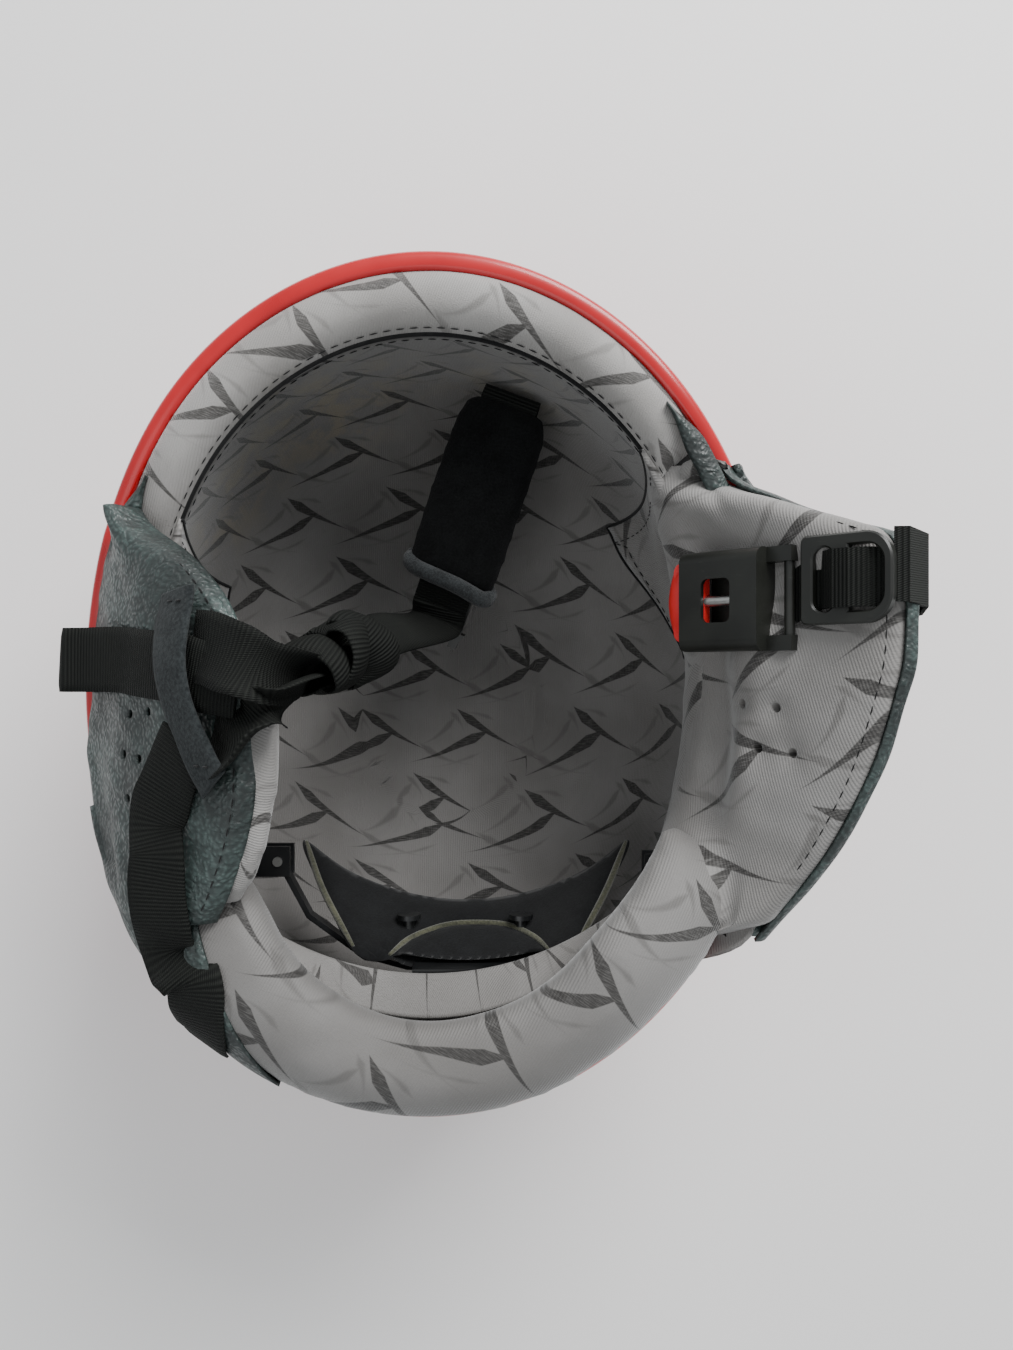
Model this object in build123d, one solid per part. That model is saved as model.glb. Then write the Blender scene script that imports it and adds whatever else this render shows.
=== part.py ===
"""Soft-ear ski helmet, lying on its crown with the head opening up.

Millimetres. +Z points up out of the head opening, -Y is the front (forehead) and +X is the
wearer's right, because the helmet is upside down. The origin is the point of the crown that
touches the table. Every piece is written to parts/NODE.step.
"""
from build123d import *
import math
import os

# ---------------------------------------------------------------- driving dimensions
half_width = 114.0          # outer shell, across the ears, at the equator
half_length = 139.0         # outer shell, front to back, at the equator
equator = 95.0              # height of the widest section above the crown
lean = -0.1                 # the sections move forward by this much for each mm of height
fullness = 2.2              # superellipse exponent of the crown, 2 would be an ellipse
taper = 0.10                # how much the wall has drawn in, 65 mm above the equator
wall_top = 185.0            # height at which the dome bodies are cut off before the rim trims them
stretch = half_length / half_width

shell_wall = 3.0
foam_wall = 14.0
liner_wall = 4.0
fit_gap = 0.3               # play left between soft layers
liner_outer = shell_wall + foam_wall + 0.5
liner_inner = liner_outer + liner_wall

# Height of the shell's edge along the helmet, from forehead to nape, as (y, z).
rim_line = [(-160, 141), (-110, 139), (-70, 131), (-30, 124), (20, 124), (60, 138), (90, 146), (140, 148)]

hinge_x = 90.0              # the ear flaps fold about lines along Y at this distance from the middle
hinge_z = 131.0
flap_pad = (-5.5, 6.5)      # padded core of a flap, measured along its outward normal
cover_thickness = 1.2       # leather on the outer face
right_lean = 50.0           # degrees from upright, towards the middle
left_lean = -44.0           # this one lies open, away from the middle

webbing_width = 20.0
webbing_thickness = 1.6
rivet_radius = 2.5
hole_play = 0.1

# ---------------------------------------------------------------- helpers
os.makedirs("parts", exist_ok=True)
parts = {}


def keep(name, shape):
    """Names a finished piece and writes it out."""
    shape.label = name
    parts[name] = shape
    export_step(shape, f"parts/{name}.step")


def squeeze(z):
    """Share of the equator's size that the wall still has at height z above the equator."""
    return 1 - taper * ((z - equator) / 65) ** 2


def dome(inset):
    """The helmet's outer form, moved inwards by inset, as a solid from the crown to wall_top."""
    radius = half_width - inset
    depth = equator - inset
    steps = [math.radians(angle) for angle in (90, 78, 66, 54, 42, 30, 18, 8, 0)]
    profile = [
        (radius * math.cos(t) ** (2 / fullness), equator - depth * math.sin(t) ** (2 / fullness))
        for t in steps[1:]
    ]
    profile = [(0, inset)] + profile
    heights = (115, 135, 155, wall_top)
    profile += [(radius * squeeze(z), z) for z in heights]
    wall = Spline([(x, 0, z) for x, z in profile])
    top = Line((profile[-1][0], 0, wall_top), (0, 0, wall_top))
    axis = Line((0, 0, wall_top), (0, 0, inset))
    body = revolve(make_face([wall, top, axis]), Axis.Z)
    oval = Matrix([[1, 0, 0, 0], [0, stretch, lean, 0], [0, 0, 1, 0], [0, 0, 0, 1]])
    return body.solid().transform_geometry(oval)


def below_rim(offset):
    """Everything lower than the shell's edge raised by offset."""
    edge = Spline([(0, y, z + offset) for y, z in rim_line])
    front, back = rim_line[0], rim_line[-1]
    floor_z = -10
    outline = [
        edge,
        Line((0, back[0], back[1] + offset), (0, back[0], floor_z)),
        Line((0, back[0], floor_z), (0, front[0], floor_z)),
        Line((0, front[0], floor_z), (0, front[0], front[1] + offset)),
    ]
    return extrude(make_face(outline), amount=half_width + 20, dir=(1, 0, 0), both=True)


def block(low, high):
    """A box between two corners."""
    size = [high[i] - low[i] for i in range(3)]
    centre = [(high[i] + low[i]) / 2 for i in range(3)]
    return Pos(*centre) * Box(*size)


def wall_point(angle, z, inset, side):
    """Point on the upper wall at a plan angle from the side towards the back."""
    radius = (half_width - inset) * squeeze(z)
    turn = math.radians(angle)
    return Vector(side * radius * math.cos(turn), lean * z + radius * stretch * math.sin(turn), z)


def wall_normal(angle, side):
    """Outward direction of the wall at that plan angle."""
    turn = math.radians(angle)
    return Vector(side * math.cos(turn) * stretch, math.sin(turn), 0).normalized()


def ribbon(stations, width=webbing_width, thickness=webbing_thickness):
    """Flat band through stations of (centre, direction across, direction out of its face)."""
    sections = []
    for centre, across, outward in stations:
        across = Vector(across).normalized()
        along = across.cross(Vector(outward)).normalized()
        frame = Plane(origin=centre, x_dir=across, z_dir=along)
        sections.append(frame * Rectangle(width, thickness))
    return loft(sections, ruled=True)


def flap_point(side, lean_degrees, y, height, out):
    """Row position of a point given along the flap: y, height from the hinge, and outwards."""
    turn = math.radians(lean_degrees)
    x = hinge_x - height * math.sin(turn) + out * math.cos(turn)
    z = hinge_z + height * math.cos(turn) + out * math.sin(turn)
    return Vector(side * x, y, z)


def flap_plane(side, lean_degrees, out):
    """Plane on the flap with x along Y, y up the flap and z outwards or inwards by side."""
    turn = math.radians(lean_degrees)
    up = Vector(-side * math.sin(turn), 0, math.cos(turn))
    along = Vector(0, 1, 0)
    return Plane(origin=flap_point(side, lean_degrees, 0, 0, out), x_dir=along, z_dir=along.cross(up))


def outward(side, lean_degrees):
    turn = math.radians(lean_degrees)
    return Vector(side * math.cos(turn), 0, math.sin(turn))


def flap_plate(side, lean_degrees, outline, out_low, out_high, corner):
    """Plate of the flap's outline between two offsets along the outward normal."""
    plane = flap_plane(side, lean_degrees, out_low)
    face = make_face(Polyline(*outline, close=True))
    face = fillet(face.vertices(), corner)
    return extrude(plane * face, amount=out_high - out_low, dir=outward(side, lean_degrees))


sides = {"left": -1, "right": 1}
leans = {"left": left_lean, "right": right_lean}

# ---------------------------------------------------------------- shell, foam and crown liner
shell_outer = dome(0)
shell_inner = dome(shell_wall)
foam_outer = dome(shell_wall + fit_gap)
foam_inner = dome(shell_wall + fit_gap + foam_wall)
liner_back = dome(liner_outer)
liner_face = dome(liner_inner)

outer_shell = (shell_outer - shell_inner) & below_rim(0)
eps_liner = (foam_outer - foam_inner) & below_rim(-4)
crown_liner = (liner_back - liner_face) & below_rim(-6)

# ---------------------------------------------------------------- strap anchors in the shell wall
anchor_angles = {"front": -4.0, "rear": 45.6}   # plan angle from the side towards the nape
anchor_foot = 96.0          # lower end of the webbing inside the wall
rivet_top = 114.0           # the riveted stretch is straight from the foot up to here
anchor_inset = shell_wall + 2.2
rivet_head_radius = 5.0
washer_radius = 6.0
washer_thickness = 1.2

# Where each anchor's webbing goes above the wall, as (x, y, z) on the wearer's right.
front_fold = {
    "right": [(107.2, 129), (109.3, 134.5), (110.4, 138.4), (106.8, 140.2)],
    "left": [(107.2, 127), (107.5, 129.5)],
}
front_lean = [(1, 0), (1, -0.5), (1, 0.3), (0.2, 1)]
rear_run = {
    "right": [(71, 74.5, 145.5), (77, 65, 150), (79.8, 49, 151)],
    "left": [(69.6, 72.8, 147), (84, 66, 149), (101, 49, 147)],
}


def across_wall(angle, side):
    return Vector(0, 0, 1).cross(wall_normal(angle, side))


def wall_stations(where, side, heights, inset):
    angle = anchor_angles[where]
    across = across_wall(angle, side)
    normal = wall_normal(angle, side)
    return [(wall_point(angle, z, inset, side), across, normal) for z in heights]


def front_anchor(name, side):
    """Webbing that stands up past the shell's edge and folds back towards the flap."""
    stations = wall_stations("front", side, (anchor_foot, rivet_top, 120), anchor_inset)
    across = Vector(0, side, 0)
    y = stations[-1][0].Y
    for (x, z), (out, up) in zip(front_fold[name], front_lean):
        stations.append((Vector(side * x, y, z), across, Vector(side * out, 0, up)))
    return ribbon(stations)


def rear_anchor(name, side):
    """Webbing that climbs over the edge and runs forward to the flap's rear corner."""
    stations = wall_stations("rear", side, (anchor_foot, rivet_top, 126, 138), anchor_inset)
    turn = math.radians(leans[name])
    flap_up = Vector(-side * math.sin(turn), 0, math.cos(turn)) * side
    start_across, start_out = stations[-1][1], stations[-1][2]
    run = rear_run[name]
    for number, (x, y, z) in enumerate(run):
        share = (number + 1) / len(run)
        across = start_across * (1 - share) + flap_up * share
        out = start_out * (1 - share) + outward(side, leans[name]) * share
        stations.append((Vector(side * x, y, z), across, out))
    return ribbon(stations)


rivets = []
washers = []
for where, make in (("front", front_anchor), ("rear", rear_anchor)):
    for name, side in sides.items():
        angle = anchor_angles[where]
        foot = wall_point(angle, anchor_foot, anchor_inset, side)
        top = wall_point(angle, rivet_top, anchor_inset, side)
        centre = (foot + top) / 2
        normal = (top - foot).cross(across_wall(angle, side)).normalized() * -1
        drill = Plane(origin=centre, z_dir=normal)
        hole = drill * Cylinder(rivet_radius + hole_play, 24)
        outer_shell -= hole
        pocket_heights = (anchor_foot - 5, 110, 128, 148)
        pocket = ribbon(wall_stations(where, side, pocket_heights, shell_wall + 4), 26, 9)
        eps_liner -= pocket
        keep(f"strap_anchor_{where}_{name}", make(name, side) - hole)

        shell_face = (wall_point(angle, centre.Z, 0, side) - centre).dot(normal)
        washer_face = -webbing_thickness / 2
        washer = Cylinder(washer_radius, washer_thickness) - Cylinder(rivet_radius + hole_play, 5)
        washers.append(drill * Pos(0, 0, washer_face - washer_thickness / 2) * washer)
        tail_z = washer_face - washer_thickness
        shank = Cylinder(rivet_radius, shell_face - tail_z + 0.4)
        shank = Pos(0, 0, (shell_face + tail_z + 0.4) / 2) * shank
        tail = Pos(0, 0, tail_z - 0.6) * Cylinder(rivet_head_radius - 1, 1.2)
        head_ball = Pos(0, 0, shell_face + 0.4 - 8.1) * Sphere(9.8)
        head_slab = Pos(0, 0, shell_face + 0.4 + 1) * Cylinder(rivet_head_radius, 2)
        rivets.append(drill * (shank + tail + (head_ball & head_slab)))
keep("strap_rivets", Compound(rivets))
keep("rivet_washers", Compound(washers))

# ---------------------------------------------------------------- soft liner pieces
front_box = block((-130, -170, 0), (130, -71.5, wall_top))
brow_pad = (foam_outer - dome(20)) & front_box & below_rim(2)
brow_pad -= below_rim(-3.7)
keep("brow_pad", brow_pad)

roll_y = 49.0               # the neck roll runs round the back from here
roll_half = 65.0            # its ends stop short of the rear straps
back_box = block((-roll_half, roll_y, 0), (roll_half, 170, wall_top))
neck_roll = (dome(9.5) - dome(22)) & back_box & below_rim(20)
neck_roll -= below_rim(-3.7)
keep("neck_roll", neck_roll)

pad_back = dome(liner_inner + fit_gap)
temple_face = dome(29)
ear_face = dome(31)
stud_radius = 3.0
stud_places = {"left": (-22, 18), "right": (-22, 16)}
studs = []
for name, side in sides.items():
    temple_box = block((min(side * 40, side * 120), -71, 96), (max(side * 40, side * 120), -42, 119))
    keep(f"temple_pad_{name}", (pad_back - temple_face) & temple_box)
    ear_box = block((min(side * 40, side * 120), -39.5, 98), (max(side * 40, side * 120), 34.5, 122))
    ear_base = (pad_back - ear_face) & ear_box
    for y in stud_places[name]:
        at_x = side * (half_width - liner_inner)
        stud = Pos(at_x, y, 110) * Rot(0, 90, 0) * Cylinder(stud_radius, 12)
        hole = Pos(at_x, y, 110) * Rot(0, 90, 0) * Cylinder(stud_radius + hole_play, 12.2)
        ear_base -= hole
        crown_liner -= hole
        eps_liner -= hole
        studs.append(stud)
    keep(f"ear_pad_base_{name}", ear_base)
keep("ear_pad_studs", Compound(studs))
keep("outer_shell", outer_shell)

# ---------------------------------------------------------------- ear flaps
flap_outlines = {
    "right": [(-54, 6), (-60, 14), (-39.5, 52), (-21.5, 60), (5.5, 58), (30.5, 48), (43, 36), (43, 18), (28, 6)],
    "left": [(-54, 6), (-60, 14), (-56, 54), (-48, 59), (-12, 60), (12, 50), (43, 26), (43, 18), (28, 6)],
}
# Ventilation holes over the ear, as (y, height) on the flap.
hole_places = {
    "right": [(-5, 4), (-4, -1), (8, 5), (9, 0), (8, -7), (20, 1), (20, -5)],
    "left": [(-7, 26), (-8, 14), (6, 31), (5, 20)],
}
ear_hole_radius = 1.4
cover_low = flap_pad[1]
cover_high = cover_low + cover_thickness
ear_hole_shift = {"right": 18, "left": 0}
for name, side in sides.items():
    lean_now = leans[name]
    outline = flap_outlines[name]
    pad = flap_plate(side, lean_now, outline, flap_pad[0], flap_pad[1], 4)
    cover = flap_plate(side, lean_now, outline, cover_low, cover_high, 4)
    plane = flap_plane(side, lean_now, 0)
    for y, height in hole_places[name]:
        hole = Pos(y, height + ear_hole_shift[name], 0) * Cylinder(ear_hole_radius, 40)
        cover -= plane * hole
    keep(f"ear_flap_{name}", pad)
    keep(f"ear_flap_cover_{name}", cover)

# ---------------------------------------------------------------- webbing on the flaps
web_out = cover_high + fit_gap + webbing_thickness / 2
front_y = wall_point(anchor_angles["front"], 120, anchor_inset, 1).Y


def on_flap(name, y, height, out, across, face=None):
    side = sides[name]
    lean_now = leans[name]
    turn = math.radians(lean_now)
    up = Vector(-side * math.sin(turn), 0, math.cos(turn))
    across_row = Vector(0, across[0], 0) + up * across[1]
    face_row = outward(side, lean_now)
    if face:
        face_row = face_row * face[0] + up * face[1]
    return (flap_point(side, lean_now, y, height, out), across_row, face_row)


right_front = [
    (Vector(100, front_y, 141.0), Vector(0, 1, 0), Vector(0.1, 0, 1)),
    (Vector(95.5, front_y, 141.6), Vector(0, 1, 0), Vector(0.2, 0, 1)),
    on_flap("right", front_y, 9, web_out, (1, 0)),
    on_flap("right", front_y, 35, web_out, (1, 0)),
]
keep("strap_front_right", ribbon(right_front))
rear_slope = (0.48, 0.88)
right_rear = [
    on_flap("right", 1, 43, web_out, rear_slope),
    on_flap("right", 40, 22, web_out, rear_slope),
]
keep("strap_rear_right", ribbon(right_rear))

# On the open left flap the front branch wraps over the flap's edge to the slider.
edge_h = 60.0
left_front = [
    on_flap("left", front_y - 14, 24, web_out, (1, 0)),
    on_flap("left", front_y - 22, edge_h + 1.2, web_out, (1, 0)),
    on_flap("left", front_y - 24, edge_h + 3.6, web_out - 2.6, (1, 0), (0.5, 1)),
    on_flap("left", front_y - 25, edge_h + 3.6, -4.6, (1, 0), (-0.5, 1)),
    on_flap("left", front_y - 25, edge_h + 1.2, -7.0, (1, 0), (-1, 0)),
]
keep("strap_front_left", ribbon(left_front))
left_rear = [
    on_flap("left", -10, 50, web_out + 2.0, (0.45, 0.9)),
    on_flap("left", 41, 24, web_out, (0.45, 0.9)),
]
keep("strap_rear_left", ribbon(left_rear))

keeper_thickness = 1.2
keeper_width = 17.0
keeper_low = cover_high + 0.1 + keeper_thickness / 2
keeper_high = web_out + webbing_thickness / 2 + 0.3 + keeper_thickness / 2
keeper = [
    on_flap("right", -38.5, 40, keeper_low, (0, 1)),
    on_flap("right", -35.5, 41, keeper_low, (0, 1)),
    on_flap("right", -32, 41.5, keeper_high, (0, 1)),
    on_flap("right", 13, 47, keeper_high, (0, 1)),
]
keep("strap_keeper_right", ribbon(keeper, keeper_width, keeper_thickness))

# ---------------------------------------------------------------- chin strap, pad and plug (wearer's right)
pad_length = 66.0
pad_width = 33.0
pad_thickness = 9.0
pad_mouth = Vector(-3, -50.5, 82)       # lower end of the pad, where the webbing goes in
pad_tip = Vector(-25, -110, 100)        # far end, next to the forehead liner
pad_down = (pad_mouth - pad_tip).normalized()
pad_across = pad_down.cross(Vector(0, 0, 1)).normalized()
pad_frame = Plane(origin=pad_mouth, x_dir=pad_across, z_dir=pad_across.cross(pad_down))
fold_y = 11.0               # the webbing turns up this far below the pad's mouth
sleeve_play = 0.4
under_strap_z = -pad_thickness / 2 - 1.6


def in_pad_frame(x, y, z):
    """Row position of a point given across, along and above the chin pad."""
    return pad_frame.from_local_coords(Vector(x, y, z))


def pad_direction(x, y, z):
    return in_pad_frame(x, y, z) - in_pad_frame(0, 0, 0)


def pad_ribbon(points, width=webbing_width):
    """Webbing whose path stays in the pad's own middle plane, given as (y, z, face y, face z)."""
    stations = []
    for y, z, face_y, face_z in points:
        centre = in_pad_frame(0, y, z)
        stations.append((centre, pad_direction(1, 0, 0), pad_direction(0, face_y, face_z)))
    return ribbon(stations, width)


# From the flap's free edge down to the fold below the pad.
chin_route = [
    (Vector(44.5, -12.5, 179.5), (0.05, 1, 0), (0.55, 0, 0.85)),
    (Vector(37, -14, 174), (0.1, 1, 0.05), (-0.6, 0, 0.8)),
    (Vector(28, -19.5, 152), (0.45, 0.9, -0.05), (-0.9, 0.4, 0.4)),
    (Vector(11, -33, 116), (0.8, 0.2, -0.3), (-0.5, 0.75, 0.4)),
    (in_pad_frame(0, fold_y + 3, 4.5), pad_direction(1, 0, 0), pad_direction(0, 0.8, 0.6)),
]
keep("chin_strap", ribbon(chin_route))

over_tip = -pad_length - 2.9
chin_strap_end = [
    (fold_y - 1, 0.3, 0, 1),
    (0, 0, 0, 1),
    (over_tip + 2.4, 0, 0, 1),
    (over_tip, -1.8, -1, 0.3),
    (over_tip, under_strap_z + 1.8, -1, -0.3),
    (over_tip + 2.4, under_strap_z, 0, -1),
    (-14, under_strap_z, 0, -1),
]
chin_strap_end = pad_ribbon(chin_strap_end)
keep("chin_strap_end", chin_strap_end)

sleeve = Pos(0, -pad_length / 2, 0) * Box(webbing_width + 2 * sleeve_play, pad_length + 2,
                                          webbing_thickness + 2 * sleeve_play)
chin_pad = Pos(0, -pad_length / 2, 0) * Box(pad_width, pad_length, pad_thickness)
chin_pad = fillet(chin_pad.edges().filter_by(Axis.Z), 8)
chin_pad = fillet(chin_pad.edges().group_by(Axis.Z)[0] + chin_pad.edges().group_by(Axis.Z)[-1], 2)
keep("chin_pad", pad_frame * (chin_pad - sleeve))

# Male half of the buckle: a webbing bar at one end and two sprung prongs with a guide between.
plug_width = 25.0
plug_z = -pad_thickness / 2 - 3.7
plug_pin_y = -9.8
plug_thickness = 3.2
bar_radius = 1.5
plug = Pos(0, -1.5, 0) * Box(plug_width, 9, plug_thickness)
for x in (-plug_width / 2 + 2, plug_width / 2 - 2):
    plug += Pos(x, -7.3, 0) * Box(4, 8, plug_thickness)
plug += Pos(0, plug_pin_y, 0) * Rot(0, 90, 0) * Cylinder(bar_radius, plug_width)
for x in (-8.5, 8.5):
    plug += Pos(x, 13, 0) * Box(3.4, 24, plug_thickness)
    barb = make_face(Polyline((x, 19), (x + math.copysign(3.2, x), 19), (x, 27), close=True))
    plug += Pos(0, 0, -plug_thickness / 2) * extrude(barb, plug_thickness)
plug += Pos(0, 11, 0) * Box(4, 18, 2.6)
keep("buckle_plug", pad_frame * Pos(0, 0, plug_z) * plug)

# The webbing loop that the plug's bar turns in.
loop_outer = bar_radius + 0.06 + webbing_thickness
loop_inner = Cylinder(bar_radius + 0.06, 18)
loop_place = pad_frame * Pos(0, plug_pin_y, plug_z) * Rot(0, 90, 0)
neck = pad_ribbon([(-14, under_strap_z, 0, -1), (plug_pin_y - 1, under_strap_z, 0, -1)], 16)
neck -= loop_place * loop_inner
keep("plug_strap_loop", neck + loop_place * (Cylinder(loop_outer, 16) - loop_inner))

# ---------------------------------------------------------------- slider and buckle (wearer's left)
# Local frame of the open left flap: x along Y, y up the flap, z away from its inner face.
inner_frame = flap_plane(-1, left_lean, 0)
slider_y = -43.0
buckle_y = -38.5
slider_low = 7.9
slider_thickness = 2.6
slider_width = 25.0
slider_ends = (35.0, 62.0)
loop_width = 16.0
bar_height = 31.0           # the buckle's webbing bar, up the flap
bar_level = 9.1

slider_length = slider_ends[1] - slider_ends[0]
slider_middle = (slider_ends[0] + slider_ends[1]) / 2
slider = Rectangle(slider_width, slider_length)
slider = fillet(slider.vertices().group_by(Axis.Y)[-1], 8)
slider = fillet(slider.vertices().group_by(Axis.Y)[0], 2)
d_hole = Pos(0, 6) * Rectangle(18, 10)
d_hole = fillet(d_hole.vertices().group_by(Axis.Y)[-1], 4.9)
slider -= d_hole
slider -= Pos(0, -6.5) * SlotOverall(18, 6.5)
slider = extrude(slider, slider_thickness)
slider = chamfer(slider.edges().group_by(Axis.Z)[-1], 0.5)
keep("strap_slider", inner_frame * Pos(slider_y, slider_middle, slider_low) * slider)

under = flap_pad[0] * -1 + 0.65 + webbing_thickness / 2
over_bar = slider_low + slider_thickness + 1.3
loop_hole = bar_radius + 0.06
loop_rim = loop_hole + webbing_thickness
weave = [
    (slider_y, 60.0, under, 0, 1),
    (slider_y, 57.5, under + 0.1, 0.3, 1),
    (slider_y, 53.5, over_bar - 1.6, 0.9, 1),
    (slider_y, 50.5, over_bar, 0.1, 1),
    (slider_y, 45.5, over_bar, -0.1, 1),
    (slider_y, 42.4, over_bar - 2.6, -0.9, 1),
    (slider_y, 40.2, under, -0.1, 1),
    ((slider_y + buckle_y) / 2, 35.0, under, 0, 1),
    (buckle_y, bar_height, bar_level - loop_rim + webbing_thickness / 2, 0, 1),
]
stations = []
for y, height, level, tilt, rise in weave:
    centre = inner_frame.from_local_coords(Vector(y, height, level))
    zero = inner_frame.from_local_coords(Vector(0, 0, 0))
    face = inner_frame.from_local_coords(Vector(0, tilt, rise)) - zero
    stations.append((centre, Vector(0, 1, 0), face))
bar_place = inner_frame * Pos(buckle_y, bar_height, bar_level) * Rot(0, 90, 0)
eyelet = Cylinder(loop_rim, loop_width) - Cylinder(loop_hole, loop_width + 4)
strap_end = ribbon(stations, loop_width) - bar_place * Cylinder(loop_hole, loop_width + 4)
keep("strap_end_left", strap_end + bar_place * eyelet)

# Female half: a hollow housing whose mouth faces down the flap, with a frame for the webbing bar.
buckle_width = 30.0
buckle_mouth = -2.0
buckle_back = 25.0
buckle_low = 6.3
buckle_high = 17.0
cavity_low = 7.7
cavity_high = 15.6
cavity_width = 24.6
button_travel = 3.0
housing = Pos(0, (buckle_mouth + buckle_back) / 2, (buckle_low + buckle_high) / 2)
housing *= Box(buckle_width, buckle_back - buckle_mouth, buckle_high - buckle_low)
housing = fillet(housing.edges().filter_by(Axis.Y), 3.5)
for x in (-buckle_width / 2 + 2.2, buckle_width / 2 - 2.2):
    housing += Pos(x, 28.5, bar_level) * Box(4.4, 9, 5)
housing += Pos(0, bar_height, bar_level) * Rot(0, 90, 0) * Cylinder(bar_radius, buckle_width - 3)
cavity_depth = 23.0
cavity = Pos(0, buckle_mouth + cavity_depth / 2 - 1, (cavity_low + cavity_high) / 2)
cavity *= Box(cavity_width, cavity_depth + 2, cavity_high - cavity_low)
housing -= cavity
window = Pos(0, 11, buckle_high) * Box(13, 10, 6)
window = fillet(window.edges().filter_by(Axis.Z), 2)
housing -= window
buckle_place = inner_frame * Pos(buckle_y, 0, 0)
keep("buckle_body", buckle_place * housing)

button_low = 12.4
button_high = cavity_high - 0.2
button_front = buckle_mouth - 1.6 - button_travel / 2
button_back = 6.0
button = Pos(0, (button_front + button_back) / 2, (button_low + button_high) / 2)
button *= Box(cavity_width - 0.4, button_back - button_front, button_high - button_low)
button = fillet(button.edges().group_by(Axis.Y)[0].filter_by(Axis.Z), 3)
keep("buckle_button", buckle_place * button)
latch = Pos(0, 4, button_low - 0.5) * Box(18, 4, 1.0)
keep("buckle_latch", buckle_place * latch)
spring_seat = buckle_mouth + cavity_depth
spring_middle = (button_back + spring_seat) / 2
spring_level = (button_low + button_high) / 2
spring = Cylinder(1.6, spring_seat - button_back) - Cylinder(1.1, spring_seat)
spring = Pos(0, spring_middle, spring_level) * Rot(90, 0, 0) * spring
keep("buckle_spring", buckle_place * spring)

# ---------------------------------------------------------------- size adjuster behind the head
fit_x = -10.0
fit_z = 116.0
wheel_y = 81.0
pin_half = 62.0
pin_y = 45.5
pitch_radius = 3.5
tooth_count = 10
tooth_pitch = 2 * math.pi * pitch_radius / tooth_count
band_thickness = 1.8
band_height = 5.0
band_edge = 4.6             # distance of a band's body from the wheel's axis
pin_radius = 1.6
band_levels = {"left": 1, "right": -1}      # above or below the pinion


def band_solid(side, level):
    """Bent bar from its pivot eye to the straight rack inside the housing."""
    path = [(-pin_half, pin_y), (-52, 64), (-34, 77), (-19, wheel_y), (8, wheel_y)]
    path = [(fit_x - side * x, y) for x, y in path]
    low = band_edge if level > 0 else -band_edge - band_height
    stations = []
    for number, (x, y) in enumerate(path):
        before = Vector(*path[max(number - 1, 0)])
        after = Vector(*path[min(number + 1, len(path) - 1)])
        along = (after - before).normalized()
        flat = Vector(-along.Y, along.X, 0)
        stations.append((Vector(x, y, fit_z + low + band_height / 2), Vector(0, 0, 1), flat))
    band = ribbon(stations, band_height, band_thickness)
    centre_z = fit_z + low + band_height / 2
    eye = Pos(fit_x + side * pin_half, pin_y, centre_z) * Cylinder(3.4, band_height)
    band += eye
    band -= Pos(fit_x + side * pin_half, pin_y, centre_z) * Cylinder(pin_radius + 0.06, 20)
    for number in range(9):
        x = fit_x + side * (number - 3.5) * tooth_pitch
        half_root, half_tip = 0.64, 0.28
        base = level * band_edge
        tip = level * (pitch_radius - 0.75)
        outline = [(x - half_root, base), (x + half_root, base), (x + half_tip, tip), (x - half_tip, tip)]
        tooth = make_face(Polyline(*outline, close=True))
        tooth = extrude(Plane.XZ * tooth, band_thickness / 2, both=True)
        band += Pos(0, wheel_y, fit_z) * tooth
    return band


bands = {name: band_solid(side, band_levels[name]) for name, side in sides.items()}
for name, band in bands.items():
    keep(f"fit_band_{name}", band)

# The wheel: a knurled disc and a pinion on one short shaft.
wheel_radius = 13.0
disc_low = wheel_y + 4.6
disc_thickness = 4.0
front_wall = wheel_y - 4.0
back_wall = wheel_y + 9.3
wall = 1.5
pinion_root = pitch_radius - 0.95
pinion = Circle(pinion_root)
for number in range(tooth_count):
    outline = [(2.0, -0.7), (2.6, -0.6), (4.0, -0.2), (4.0, 0.2), (2.6, 0.6), (2.0, 0.7)]
    tooth = make_face(Polyline(*outline, close=True))
    pinion += Rot(0, 0, 90 + 360 / tooth_count * number) * tooth
knurl = Circle(wheel_radius)
grip_count = 24
for number in range(grip_count):
    knurl -= Rot(0, 0, 360 / grip_count * number) * Pos(wheel_radius + 0.2, 0) * Circle(0.8)
wheel_plane = Plane(origin=(fit_x, wheel_y, fit_z), x_dir=(1, 0, 0), z_dir=(0, -1, 0))
wheel = extrude(pinion, 2.4, both=True)
wheel += Pos(0, 0, -(disc_low - wheel_y) - disc_thickness) * extrude(knurl, disc_thickness)
shaft_radius = 1.5
shaft_length = back_wall + wall - front_wall
shaft_middle = wheel_y - (back_wall + wall + front_wall) / 2
wheel += Pos(0, 0, shaft_middle) * Cylinder(shaft_radius, shaft_length)
keep("fit_wheel", wheel_plane * wheel)

housing_half = 16.0
housing_low = fit_z - 11.8
housing_high = fit_z + 11.8
shaft_hole = Pos(fit_x, wheel_y, fit_z) * Rot(90, 0, 0) * Cylinder(shaft_radius + 0.06, 60)
fit_housing = block((fit_x - housing_half, front_wall, housing_low), (fit_x + housing_half, back_wall, housing_high))
inside_low = (fit_x - housing_half + wall, front_wall + wall, housing_low + wall)
inside_high = (fit_x + housing_half - wall, back_wall + 1, housing_high - wall)
fit_housing -= block(inside_low, inside_high)
for name, side in sides.items():
    level = band_levels[name]
    slot_low = fit_z + min(level * 2.2, level * (band_edge + band_height + 0.35))
    slot_high = fit_z + max(level * 2.2, level * (band_edge + band_height + 0.35))
    slot_x = sorted((fit_x + side * 10, fit_x + side * 20))
    fit_housing -= block((slot_x[0], wheel_y - 2.4, slot_low), (slot_x[1], wheel_y + 2.4, slot_high))
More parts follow.
